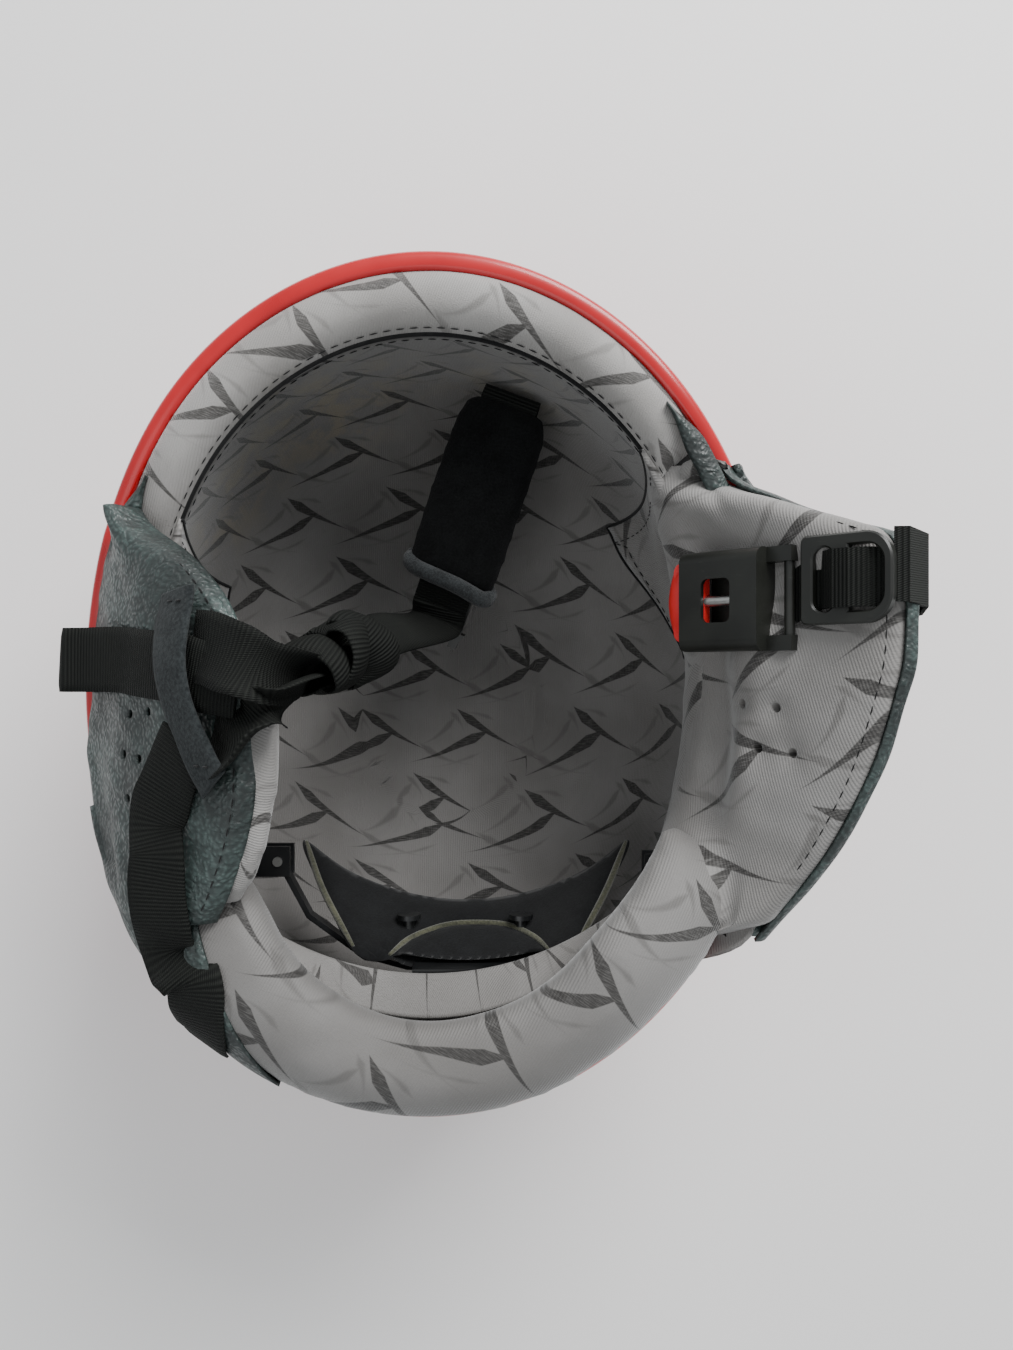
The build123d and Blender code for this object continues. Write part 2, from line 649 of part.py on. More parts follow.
disc_slot = block((fit_x - 12, disc_low - 0.4, housing_high - 3), (fit_x + 12, disc_low + disc_thickness + 0.3, 140))
fit_housing -= disc_slot
fit_housing -= Pos(0, 0, housing_low - housing_high) * disc_slot
ear_half = 22.0
pad_stud_x = 19.0
pad_stud_z = 107.0
fit_housing += block((fit_x - ear_half, front_wall, housing_low - 0.5), (fit_x + ear_half, front_wall + wall, 110))
fit_housing -= shaft_hole
keep("fit_housing", fit_housing)
cover_low_corner = (fit_x - housing_half, back_wall, housing_low)
fit_cover = block(cover_low_corner, (fit_x + housing_half, back_wall + wall, housing_high)) - shaft_hole
keep("fit_housing_cover", fit_cover)

# Neoprene pad in front of the adjuster: a bowed sheet that leans back as it rises.
pad_z = (84.0, 125.0)
pad_lean = 0.45
sheet_thickness = 4.0
sheet_end_y = 41.0
sheet_middle_y = 59.0
front_arc = [(-70, sheet_end_y), (fit_x, sheet_middle_y), (50, sheet_end_y)]
sheet_arc = ThreePointArc(*front_arc)
sheet_arc_back = ThreePointArc(*[(x, y + sheet_thickness) for x, y in front_arc])
sheet_ends = [Line(sheet_arc @ 1, sheet_arc_back @ 1), Line(sheet_arc @ 0, sheet_arc_back @ 0)]
sheet = make_face([sheet_arc, sheet_arc_back] + sheet_ends)
sheet = Pos(0, -sheet_thickness / 2, pad_z[0]) * sheet
rise = pad_z[1] - pad_z[0]
sheet = extrude(sheet, amount=rise * math.hypot(1, pad_lean), dir=Vector(0, pad_lean, 1).normalized())
pad_outline = [(-68, 84.5), (-60, 87), (fit_x, 89), (40, 87), (49, 84.5), (24, 124.5), (-44, 124.5)]
pad_shape = make_face(Polyline(*pad_outline, close=True))
pad_shape -= Pos(fit_x - 2, 127) * Ellipse(23, 24.5)
pad_cutter = Plane(origin=(0, 120, 0), x_dir=(1, 0, 0), z_dir=(0, -1, 0)) * pad_shape
fit_pad = sheet & extrude(pad_cutter, 100)
stud_reach = 11.5
pad_studs = []
for side in (-1, 1):
    place = Pos(fit_x + side * pad_stud_x, 0, pad_stud_z)
    stud = place * Pos(0, front_wall - stud_reach / 2, 0) * Rot(90, 0, 0) * Cylinder(2, stud_reach)
    cap = place * Pos(0, front_wall - stud_reach - 0.5, 0) * Rot(90, 0, 0) * Cylinder(4, 1.6)
    fit_pad -= place * Pos(0, front_wall - 4, 0) * Rot(90, 0, 0) * Cylinder(2 + hole_play, 30)
    pad_studs.append((stud + cap) - fit_pad)
keep("fit_pad", fit_pad)
keep("fit_pad_studs", Compound(pad_studs))

lug_play = 0.3
for name, side in sides.items():
    level = band_levels[name]
    pin_x = fit_x + side * pin_half
    low = fit_z + (band_edge if level > 0 else -band_edge - band_height)
    high = low + band_height
    lug = 1.6
    reach = sorted((pin_x - side * 4, side * 90))
    bracket = block((reach[0], pin_y - 5, low - lug), (reach[1], pin_y + 5, high + lug)) & liner_face
    gap = sorted((pin_x - side * 6, pin_x + side * 4.6))
    bracket -= block((gap[0], pin_y - 6, low - lug_play), (gap[1], pin_y + 6, high + lug_play))
    pin_length = high - low + 2 * lug + 1.2
    pin = Pos(pin_x, pin_y, (low + high) / 2) * Cylinder(pin_radius, pin_length)
    bracket -= pin
    keep(f"fit_bracket_{name}", bracket)
    keep(f"fit_pin_{name}", pin)

# ---------------------------------------------------------------- goggle strap holder at the back
clip_plate = ((-10, 117, 54), (10, 131.6, 88))
clip_arm_y = (136.8, 138.8)
clip_pin_y = 136
clip_pin_z = 84.0
clip_pin_reach = 138.2
clip_pin_half = 9.5
clip_snap_z = 58.0
clip_snap_half = 6
clip_foot = 131
clip_lug = 3.2
clip_base = block(*clip_plate)
snap_reach = clip_arm_y[0] - 0.2
for half, z, reach in ((clip_pin_half, clip_pin_z, clip_pin_reach), (clip_snap_half, clip_snap_z, snap_reach)):
    clip_base += block((-half, clip_foot, z - clip_lug), (half, reach, z + clip_lug))
clip_base -= block((-6.2, 132.6, clip_pin_z - 6), (6.2, 145, clip_pin_z + 6))
pin_hole = Pos(0, clip_pin_y, clip_pin_z) * Rot(0, 90, 0)
clip_base -= pin_hole * Cylinder(pin_radius, 30)
clip_base -= shell_outer
keep("goggle_clip_base", clip_base)
keep("goggle_clip_pin", pin_hole * Cylinder(pin_radius, 19))
clip_arm = block((-6, clip_arm_y[0], clip_plate[0][2]), (6, clip_arm_y[1], clip_pin_z))
clip_arm += pin_hole * Cylinder(3.0, 12)
clip_arm -= pin_hole * Cylinder(pin_radius + 0.06, 30)
clip_arm = fillet(clip_arm.edges().group_by(Axis.Z)[0].filter_by(Axis.Y), 3)
keep("goggle_clip_arm", clip_arm)

keep("eps_liner", eps_liner)
keep("crown_liner", crown_liner)
print("nodes", len(parts))
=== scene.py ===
"""Looks of the ski helmet: sewn padding, leather, webbing and fleece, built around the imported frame."""

import math
import bmesh
import bpy
import numpy as np
from mathutils import Matrix, Vector


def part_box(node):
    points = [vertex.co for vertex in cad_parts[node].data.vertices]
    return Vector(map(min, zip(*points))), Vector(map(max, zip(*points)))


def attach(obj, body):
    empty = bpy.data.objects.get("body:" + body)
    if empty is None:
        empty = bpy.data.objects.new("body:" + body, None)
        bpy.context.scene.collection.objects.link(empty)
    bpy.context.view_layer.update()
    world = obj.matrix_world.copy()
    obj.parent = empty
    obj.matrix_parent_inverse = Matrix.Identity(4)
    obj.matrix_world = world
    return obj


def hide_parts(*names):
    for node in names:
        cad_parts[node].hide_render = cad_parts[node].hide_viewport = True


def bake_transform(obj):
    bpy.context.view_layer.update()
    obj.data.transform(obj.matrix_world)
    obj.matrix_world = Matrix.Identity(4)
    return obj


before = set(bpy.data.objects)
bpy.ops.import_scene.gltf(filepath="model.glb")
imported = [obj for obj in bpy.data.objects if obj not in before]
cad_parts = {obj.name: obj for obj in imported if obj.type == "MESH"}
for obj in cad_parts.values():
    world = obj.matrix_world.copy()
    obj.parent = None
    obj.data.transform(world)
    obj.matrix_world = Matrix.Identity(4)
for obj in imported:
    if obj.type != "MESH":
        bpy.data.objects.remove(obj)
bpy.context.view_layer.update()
scene = bpy.context.scene
MM = 0.001                      # shapes below are worked out in millimetres

# Driving dimensions of the shell, in millimetres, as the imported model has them.
HALF_WIDTH = 114.0
STRETCH = 139.0 / HALF_WIDTH
EQUATOR = 95.0
LEAN = -0.1
FULLNESS = 2.2
TAPER = 0.10
SHELL_WALL = 3.0
RIM_LINE = [(-160, 141), (-110, 139), (-70, 131), (-30, 124), (20, 124), (60, 138), (90, 146), (140, 148)]
RIM_HEIGHT = 130.0              # about the rim's height beside the ears
RIM_ROUNDS = 6                  # the rim's height depends on y, and y a little on the height
HINGE_X = 90.0
HINGE_Z = 131.0
FLAP_LEAN = {1: math.radians(50), -1: math.radians(-44)}
BRIM_END = {1: -62.0, -1: -72.0}   # where the thicker front lip stops, on each side

PAD_MOUTH = np.array([-3, -50.5, 82.0])
PAD_TIP = np.array([-25, -110, 100.0])
PAD_DOWN = (PAD_MOUTH - PAD_TIP) / np.linalg.norm(PAD_MOUTH - PAD_TIP)


# ---------------------------------------------------------------- shapes
def smooth_rows(rows, count, closed=False):
    """Catmull-Rom curves through each row of points: (n, k, d) becomes (n, count, d)."""
    rows = np.asarray(rows, float)
    if closed:
        padded = np.concatenate([rows[:, -1:], rows, rows[:, :2]], 1)
        spans = rows.shape[1]
    else:
        first = 2 * rows[:, :1] - rows[:, 1:2]
        last = 2 * rows[:, -1:] - rows[:, -2:-1]
        padded = np.concatenate([first, rows, last], 1)
        spans = rows.shape[1] - 1
    where = np.linspace(0, spans, count, endpoint=not closed)
    cell = np.minimum(where.astype(int), spans - 1)
    t = (where - cell)[None, :, None]
    a, b, c, d = (padded[:, cell + k] for k in range(4))
    return 0.5 * (2 * b + (c - a) * t + (2 * a - 5 * b + 4 * c - d) * t**2 + (3 * b - a - 3 * c + d) * t**3)


def smooth_line(points, count, closed=False):
    return smooth_rows([points], count, closed)[0]


def ease(value, low, high):
    """0 below low, 1 above high and a smooth step between."""
    t = np.clip((np.asarray(value, float) - low) / (high - low), 0, 1)
    return t * t * (3 - 2 * t)


def table(value, pairs):
    """Smooth curve through (place, size) pairs, read at value."""
    line = smooth_line(pairs, 40 * len(pairs))
    return np.interp(value, line[:, 0], line[:, 1])


def radius(height, inset=0.0):
    """Half width of the wall at a height, inside the outer surface by inset."""
    height, inset = np.broadcast_arrays(np.asarray(height, float), np.asarray(inset, float))
    below = np.clip((EQUATOR - height) / (EQUATOR - inset), 0, 1) ** (FULLNESS / 2)
    low = (HALF_WIDTH - inset) * np.sqrt(1 - below**2) ** (2 / FULLNESS)
    high = (HALF_WIDTH - inset) * (1 - TAPER * ((height - EQUATOR) / 65) ** 2)
    return np.where(height < EQUATOR, low, high)


def wall(angle, height, inset=0.0):
    """Point of the wall. The angle runs from the wearer's right (0) towards the nape (90 degrees)."""
    reach = radius(height, inset)
    x = reach * np.cos(angle)
    y = STRETCH * reach * np.sin(angle) + LEAN * np.asarray(height, float)
    return np.stack(np.broadcast_arrays(x, y, np.asarray(height, float)), -1)


def wall_angle(y, height, inset=0.0):
    share = (y - LEAN * np.asarray(height, float)) / (STRETCH * radius(height, inset))
    return np.arcsin(np.clip(share, -1, 1))


def rim(angle):
    """Height of the shell's rim at an angle."""
    height = np.full(np.shape(angle), RIM_HEIGHT)
    for _ in range(RIM_ROUNDS):
        height = table(wall(angle, height)[..., 1], RIM_LINE)
    return height


def inward(angle):
    """Level direction from the wall to the middle."""
    across = np.stack([-np.cos(angle), -np.sin(angle) / STRETCH, 0 * np.asarray(angle, float)], -1)
    return across / np.linalg.norm(across, axis=-1, keepdims=True)


def flap_point(side, y, height, out):
    """Point on an ear flap: y along the helmet, height up the flap and out along its outward normal."""
    lean = FLAP_LEAN[side]
    x = side * (HINGE_X - height * math.sin(lean) + out * math.cos(lean))
    z = HINGE_Z + height * math.cos(lean) + out * math.sin(lean)
    return np.stack(np.broadcast_arrays(x, np.asarray(y, float), z), -1)


def flap_normal(side):
    """Outward direction of an ear flap, without its sign."""
    lean = FLAP_LEAN[side]
    return math.cos(lean), 0, side * math.sin(lean)


def mirrored(points, side=-1):
    """Points of the wearer's right carried to the left, or left as they are where side is 1."""
    return points * (side, 1, 1)


def grids(down, across):
    """Two grids of values: one changes from row to row and the other from column to column."""
    return np.meshgrid(down, across, indexing="ij")


def pad_point(x, y, z):
    """Point in the chin pad's own frame: x across, y towards its mouth, z up."""
    across = np.cross(PAD_DOWN, (0, 0, 1))
    across /= np.linalg.norm(across)
    up = np.cross(across, PAD_DOWN)
    x, y, z = (np.asarray(v, float)[..., None] for v in np.broadcast_arrays(x, y, z))
    return PAD_MOUTH + across * x + PAD_DOWN * y + up * z


def normals_of(grid, way=1):
    """Unit normals of a grid of points; the middle one points up, or down where way is -1."""
    normal = np.cross(np.gradient(grid, axis=0), np.gradient(grid, axis=1))
    normal /= np.maximum(np.linalg.norm(normal, axis=-1, keepdims=True), 1e-9)
    middle = normal[len(grid) // 2, grid.shape[1] // 2, 2]
    return normal if middle * way >= 0 else -normal


RIPPLE_WAVES = 5


def ripple(points, size, seed):
    """Soft uneven swelling, between -1 and 1, with bumps about size apart."""
    random = np.random.default_rng(seed)
    total = 0
    for _ in range(RIPPLE_WAVES):
        wave = random.normal(size=3)
        wave *= 2 * math.pi / (size * np.linalg.norm(wave)) * random.uniform(0.6, 1.5)
        total = total + np.sin(points @ wave + random.uniform(0, 6.28))
    return total / RIPPLE_WAVES


# ---------------------------------------------------------------- meshes
def grid_faces(rows, columns, start=0, flip=False, wrap=False):
    faces = []
    for i in range(rows if wrap else rows - 1):
        for j in range(columns - 1):
            k = (i + 1) % rows
            face = [start + i * columns + j, start + k * columns + j,
                    start + k * columns + j + 1, start + i * columns + j + 1]
            faces.append(face[::-1] if flip else face)
    return faces


def make_piece(name, points, faces, material, uv=None):
    mesh = bpy.data.meshes.new(name)
    mesh.from_pydata((np.asarray(points, float) * MM).tolist(), [], faces)
    piece = bpy.data.objects.new(name, mesh)
    scene.collection.objects.link(piece)
    mesh.materials.append(material)
    if uv is not None:
        set_uv(piece, uv)
    clean(piece)
    return piece


def clean(piece):
    """Merges doubled points, drops empty faces and turns every face outwards."""
    work = bmesh.new()
    work.from_mesh(piece.data)
    bmesh.ops.remove_doubles(work, verts=work.verts, dist=2e-5)
    bmesh.ops.dissolve_degenerate(work, edges=work.edges, dist=1e-6)
    bmesh.ops.recalc_face_normals(work, faces=work.faces)
    work.to_mesh(piece.data)
    work.free()
    piece.data.shade_smooth()


def set_uv(piece, uv):
    """Gives each point its place on the cloth, in metres."""
    mesh = piece.data
    layer = mesh.uv_layers.get("cloth") or mesh.uv_layers.new(name="cloth")
    corner = np.zeros(len(mesh.loops), int)
    mesh.loops.foreach_get("vertex_index", corner)
    layer.data.foreach_set("uv", (np.asarray(uv, float)[corner] * MM).ravel())


def points_of(piece):
    flat = np.zeros(len(piece.data.vertices) * 3)
    piece.data.vertices.foreach_get("co", flat)
    return flat.reshape(-1, 3) / MM


def lay_print(piece, place):
    """place(points) gives each point's cloth coordinates, in millimetres."""
    set_uv(piece, place(points_of(piece)))


def slab(name, top, bottom, material, wrap=False, uv=None):
    """Closed body between two grids of the same size."""
    rows, columns = top.shape[:2]
    count = rows * columns
    faces = grid_faces(rows, columns, 0, False, wrap)
    faces += grid_faces(rows, columns, count, True, wrap)
    sides = []
    last = rows if wrap else rows - 1
    for i in range(last):
        k = (i + 1) % rows
        for j in (0, columns - 1):
            sides.append((i * columns + j, k * columns + j))
    if not wrap:
        for j in range(columns - 1):
            for i in (0, rows - 1):
                sides.append((i * columns + j, i * columns + j + 1))
    faces += [[a, b, b + count, a + count] for a, b in sides]
    points = np.concatenate([top.reshape(-1, 3), bottom.reshape(-1, 3)])
    if uv is not None:
        uv = np.concatenate([uv.reshape(-1, 2)] * 2)
    return make_piece(name, points, faces, material, uv)


def cord_mesh(path, width, around, start=0):
    """Points and faces of a closed round cord, from its path and its radius at each point of it."""
    tangent = np.gradient(path, axis=0)
    tangent /= np.maximum(np.linalg.norm(tangent, axis=1, keepdims=True), 1e-9)
    first = np.cross(tangent, (0.0, 0.0, 1.0))
    first /= np.maximum(np.linalg.norm(first, axis=1, keepdims=True), 1e-6)
    second = np.cross(first, tangent)
    turn = np.linspace(0, 2 * math.pi, around, endpoint=False)[None, :, None]
    ring = np.cos(turn) * first[:, None] + np.sin(turn) * second[:, None]
    points = (path[:, None] + ring * width[:, None, None]).reshape(-1, 3)
    faces = []
    for low in range(start, start + (len(path) - 1) * around, around):
        high = low + around
        for j in range(around):
            k = (j + 1) % around
            faces.append([low + j, low + k, high + k, high + j])
    last = start + (len(path) - 1) * around
    faces.append([start + j for j in range(around)])
    faces.append([last + j for j in reversed(range(around))])
    return points, faces


def tube(name, path, size, material, around=8, taper=0.0):
    """Round cord of radius size along a path; taper narrows both ends."""
    share = np.linspace(-1, 1, len(path))
    points, faces = cord_mesh(path, size * (1 - taper * np.abs(share) ** 4), around)
    return make_piece(name, points, faces, material)


STITCH = 2.6                    # length of a stitch
STITCH_GAP = 1.6                # and the space to the next one
STITCH_AROUND = 6
STITCH_SHAPE = np.array([0.35, 0.9, 1.0, 0.9, 0.35])   # share of its radius from end to end


def stitches(name, path, material, size):
    """Row of thread stitches along a path, each a short rounded length that narrows at its ends."""
    steps = np.r_[0, np.cumsum(np.linalg.norm(np.diff(path, axis=0), axis=1))]
    points, faces = [], []
    for start in np.arange(STITCH_GAP, steps[-1] - STITCH, STITCH + STITCH_GAP):
        where = np.linspace(start, start + STITCH, len(STITCH_SHAPE))
        line = np.stack([np.interp(where, steps, path[:, k]) for k in range(3)], 1)
        base = len(points) * len(STITCH_SHAPE) * STITCH_AROUND
        more = cord_mesh(line, size * STITCH_SHAPE, STITCH_AROUND, base)
        points.append(more[0])
        faces += more[1]
    return make_piece(name, np.concatenate(points), faces, material)


def band(name, path, across, width, thickness, material, count=60, fold=0.0):
    """Strip of webbing: its path, the direction across it at each point and a fold that curls it."""
    centre = smooth_line(path, count)
    side = smooth_line(across, count)
    tangent = np.gradient(centre, axis=0)
    tangent /= np.linalg.norm(tangent, axis=1, keepdims=True)
    side -= tangent * (side * tangent).sum(1, keepdims=True)
    side /= np.linalg.norm(side, axis=1, keepdims=True)
    face = np.cross(side, tangent)
    share = np.linspace(-1, 1, 9)
    at = np.linspace(0, 1, count)
    width, curl = (np.interp(at, np.linspace(0, 1, np.size(values)), np.atleast_1d(values))
                   for values in (width, fold))
    offset = share[None, :, None] * width[:, None, None] / 2
    rise = (curl[:, None] * (share[None] ** 2 - 0.4))[..., None]
    middle = centre[:, None] + side[:, None] * offset + face[:, None] * rise
    edge = (thickness / 2) * np.sqrt(1 - 0.75 * share**6)[None, :, None]
    length = np.r_[0, np.cumsum(np.linalg.norm(np.diff(centre, axis=0), axis=1))]
    uv = np.stack(np.broadcast_arrays(length[:, None], offset[..., 0]), -1)
    return slab(name, middle + face[:, None] * edge, middle - face[:, None] * edge, material, uv=uv)


def outline_rings(outline, rings=14, around=96):
    """Rings from the middle of a closed outline to its edge, and each ring's share of the way out."""
    loop = smooth_line(outline, around, closed=True)
    middle = loop.mean(0)
    share = np.sin(np.linspace(0, math.pi / 2, rings))
    return middle + share[:, None, None] * (loop - middle), share


def outline_pad(name, outline, place, rise, sink, material, power=3.0):
    """Pad with a closed outline. place(a, b, out) puts its plane coordinates in space."""
    grid, share = outline_rings(outline)
    crown = np.sqrt(np.maximum(1 - share**power, 0))[:, None] * np.ones(grid.shape[1])
    top = place(grid[..., 0], grid[..., 1], rise * crown)
    bottom = place(grid[..., 0], grid[..., 1], -sink * crown)
    return slab(name, top.transpose(1, 0, 2), bottom.transpose(1, 0, 2), material, wrap=True)


def bore(piece, places, direction, size, depth):
    """Cuts round holes into a piece from outside."""
    work = bmesh.new()
    turn = Vector(direction).to_track_quat("Z", "Y").to_matrix().to_4x4()
    for place in places:
        at = Matrix.Translation(Vector(np.asarray(place) * MM)) @ turn
        bmesh.ops.create_cone(work, cap_ends=True, segments=16, radius1=size * MM, radius2=size * MM,
                              depth=depth * MM, matrix=at)
    mesh = bpy.data.meshes.new("holes")
    work.to_mesh(mesh)
    work.free()
    tool = bpy.data.objects.new("holes", mesh)
    scene.collection.objects.link(tool)
    cut = piece.modifiers.new("holes", "BOOLEAN")
    cut.operation = "DIFFERENCE"
    cut.solver = "EXACT"
    cut.object = tool
    settle(piece)
    bpy.data.objects.remove(tool)


def settle(piece):
    """Applies every modifier of a piece."""
    graph = bpy.context.evaluated_depsgraph_get()
    mesh = bpy.data.meshes.new_from_object(piece.evaluated_get(graph), depsgraph=graph)
    piece.modifiers.clear()
    piece.data = mesh
    piece.data.shade_smooth()


CLOTH_FRAMES = 20


def inflate(piece, voxel, pressure, limit):
    """Swells a closed pad as stuffed cloth: remeshed, simulated and smoothed. No point moves past limit."""
    remesh = piece.modifiers.new("remesh", "REMESH")
    remesh.mode = "VOXEL"
    remesh.voxel_size = voxel * MM
    settle(piece)
    before = points_of(piece)
    cloth = piece.modifiers.new("cloth", "CLOTH")
    cloth.settings.use_pressure = True
    cloth.settings.uniform_pressure_force = pressure
    cloth.settings.effector_weights.gravity = 0
    cloth.settings.tension_stiffness = 40
    cloth.settings.bending_stiffness = 0.3
    for number in range(1, CLOTH_FRAMES + 1):
        scene.frame_set(number)
    settle(piece)
    move = points_of(piece) - before
    far = np.linalg.norm(move, axis=1, keepdims=True)
    move *= np.minimum(1, limit / np.maximum(far, 1e-9))
    piece.data.vertices.foreach_set("co", ((before + move) * MM).ravel())
    finer = piece.modifiers.new("finer", "SUBSURF")
    finer.levels = 1
    settle(piece)
    scene.frame_set(1)


# ---------------------------------------------------------------- materials
class Shader:
    """A Principled material with short ways to add nodes."""

    def __init__(self, name, **settings):
        self.material = bpy.data.materials.new(name)
        self.material.use_nodes = True
        self.tree = self.material.node_tree
        self.surface = self.tree.nodes["Principled BSDF"]
        for socket, value in settings.items():
            self.surface.inputs[socket.replace("_", " ")].default_value = value

    def put(self, socket, value):
        if isinstance(value, bpy.types.NodeSocket):
            self.tree.links.new(value, socket)
        else:
            socket.default_value = value

    def node(self, kind, output=0, inputs=(), **settings):
        made = self.tree.nodes.new("ShaderNode" + kind)
        for key, value in settings.items():
            setattr(made, key, value)
        for key, value in dict(inputs).items():
            self.put(made.inputs[key], value)
        return made.outputs[output]

    def split(self, vector):
        """The first two coordinates of a vector."""
        made = self.tree.nodes.new("ShaderNodeSeparateXYZ")
        self.put(made.inputs[0], vector)
        return made.outputs[0], made.outputs[1]

    def math(self, operation, a, b=0.0, c=0.0):
        return self.node("Math", inputs={0: a, 1: b, 2: c}, operation=operation)

    def place(self, kind="Object"):
        return self.node("TexCoord", kind)

    def scaled(self, vector, size):
        return self.node("Mapping", inputs={"Vector": vector, "Scale": size})

    def noise(self, vector, scale, detail=3.0, rough=0.5):
        settings = {"Vector": vector, "Scale": scale, "Detail": detail, "Roughness": rough}
        return self.node("TexNoise", inputs=settings)

    def ramp(self, value, low, high, first=0.0, last=1.0):
        settings = {"Value": value, "From Min": low, "From Max": high, "To Min": first, "To Max": last}
        return self.node("MapRange", inputs=settings, interpolation_type="SMOOTHSTEP")

    def mix(self, factor, a, b):
        made = self.tree.nodes.new("ShaderNodeMix")
        made.data_type = "RGBA"
        for key, value in ((0, factor), (6, a), (7, b)):
            self.put(made.inputs[key], value)
        return made.outputs[2]

    def bump(self, height, depth, below=None):
        """Relief of depth millimetres."""
        inputs = {"Height": height, "Distance": depth * MM, "Strength": 1.0}
        if below is not None:
            inputs["Normal"] = below
        return self.node("Bump", inputs=inputs)

    def finish(self, color=None, rough=None, normal=None):
        for name, value in (("Base Color", color), ("Roughness", rough), ("Normal", normal)):
            if value is not None:
                self.put(self.surface.inputs[name], value)
        return self.material


def gray(value, warm=0.0):
    return (value * (1 + warm), value, value * (1 - warm), 1.0)


def blade(sh, x, y, tail, degrees, length, width, soft=0.3, bend=2.0):
    """Mask of one printed blade: a thin curved tail that widens to a slanted pointed head."""
    angle = math.radians(degrees)
    dx = sh.math("SUBTRACT", x, tail[0])
    dy = sh.math("SUBTRACT", y, tail[1])
    rise = sh.math("MULTIPLY", dy, math.sin(angle) / length)
    along = sh.math("MULTIPLY_ADD", dx, math.cos(angle) / length, rise)
    off = sh.math("MULTIPLY_ADD", dy, math.cos(angle), sh.math("MULTIPLY", dx, -math.sin(angle)))
    bowed = sh.math("MULTIPLY", along, sh.math("SUBTRACT", 1.0, along))
    off = sh.math("MULTIPLY_ADD", bowed, 4 * bend, off)
    widening = sh.math("POWER", sh.math("MAXIMUM", along, 0.0), 1.5)
    widening = sh.math("MULTIPLY", widening, width / 2 / 0.715)
    closing = sh.math("MULTIPLY", sh.math("SUBTRACT", 1.0, along), width / 2 / 0.2)
    half = sh.math("MINIMUM", widening, closing)
    edge = sh.math("SUBTRACT", half, sh.math("ABSOLUTE", off))
    return sh.ramp(edge, -soft * 0.2, soft)


PRINT_STEP = 40.0               # blades repeat along a row
PRINT_ROW = 27.0                # rows of blades
PRINT_SHIFT = 21.8              # each row is moved along by this much
RIB_STEP = 0.75                 # fine ribs of the knit
WEB_RIB = 1.15                  # ribs across the webbing
WEB_TWILL = 0.62


def printed_fabric(name, base, dark, turn=0.0, sheen=0.35, stain=(), scale=1.0):
    """Brushed knit with a printed pattern of blades, fine ribs and a satin sheen."""
    sh = Shader(name, Roughness=0.62, Sheen_Weight=sheen, Sheen_Roughness=0.4, Specular_IOR_Level=0.3)
    cloth = sh.place("UV")
    turned = sh.node("Mapping", inputs={"Vector": cloth, "Rotation": (0, 0, turn),
                                        "Scale": (1000 / scale, 1000 / scale, 1)})
    wobble = sh.noise(turned, 0.03, 1.0)
    straight_x, straight_y = sh.split(turned)
    x = sh.math("MULTIPLY_ADD", wobble, 4.0, straight_x)
    y = sh.math("MULTIPLY_ADD", wobble, -3.0, straight_y)
    row = sh.math("FLOOR", sh.math("DIVIDE", y, PRINT_ROW))
    in_y = sh.math("MULTIPLY_ADD", row, -PRINT_ROW, y)
    shifted = sh.math("MULTIPLY_ADD", row, PRINT_SHIFT, x)
    column = sh.math("FLOOR", sh.math("DIVIDE", shifted, PRINT_STEP))
    in_x = sh.math("MULTIPLY_ADD", column, -PRINT_STEP, shifted)
    marks = blade(sh, in_x, in_y, (0.5, 2.2), 21.5, 40, 4.3)
    for tail_x in (54.5, 14.5):
        marks = sh.math("MAXIMUM", marks, blade(sh, in_x, in_y, (tail_x, 6.5), 148.4, 37, 4.0, bend=-1.6))
    ghosts = blade(sh, in_x, in_y, (35, 1.5), 160, 30, 3.6, soft=1.0, bend=-3.0)
    for tail, degrees, length, width, bend in (((2, 9), 33, 26, 3.6, 3.5), ((20, 23.5), -9, 20, 2.6, -2.0),
                                               ((6, 1.5), 12, 30, 2.0, 2.5), ((28, 12), 122, 15, 3.0, 1.5)):
        ghosts = sh.math("MAXIMUM", ghosts, blade(sh, in_x, in_y, tail, degrees, length, width, 1.1, bend))
    streak = sh.noise(sh.scaled(turned, (0.35, 3.2, 1)), 1.0, 3.0)
    worn = sh.ramp(streak, 0.25, 0.62, 0.55, 1.0)
    cloud = sh.noise(sh.place(), 28.0, 3.0)
    ground = sh.mix(sh.ramp(cloud, 0.3, 0.7), gray(base * 0.86, 0.045), gray(base * 1.1, 0.035))
    for spot, size, strength in stain:
        away = sh.node("VectorMath", 1, {0: sh.place(), 1: spot}, operation="DISTANCE")
        near = sh.ramp(away, size, size * 0.2)
        blot = sh.math("MULTIPLY", near, sh.ramp(sh.noise(sh.place(), 90.0, 5.0, 0.7), 0.42, 0.62))
        ground = sh.mix(sh.math("MULTIPLY", blot, strength), ground, STAIN_COLOR)
    shaded = sh.mix(sh.math("MULTIPLY", ghosts, 0.62), ground, gray(base * 0.55, 0.05))
    color = sh.mix(sh.math("MULTIPLY", marks, worn), shaded, gray(dark, 0.06))
    ribs = sh.math("SINE", sh.math("MULTIPLY", straight_x, 2 * math.pi / RIB_STEP))
    knit = sh.noise(sh.scaled(turned, (1.2, 3.0, 1.2)), 1.0, 2.0)
    return sh.finish(color=color, normal=sh.bump(knit, 0.14, sh.bump(ribs, 0.05)))


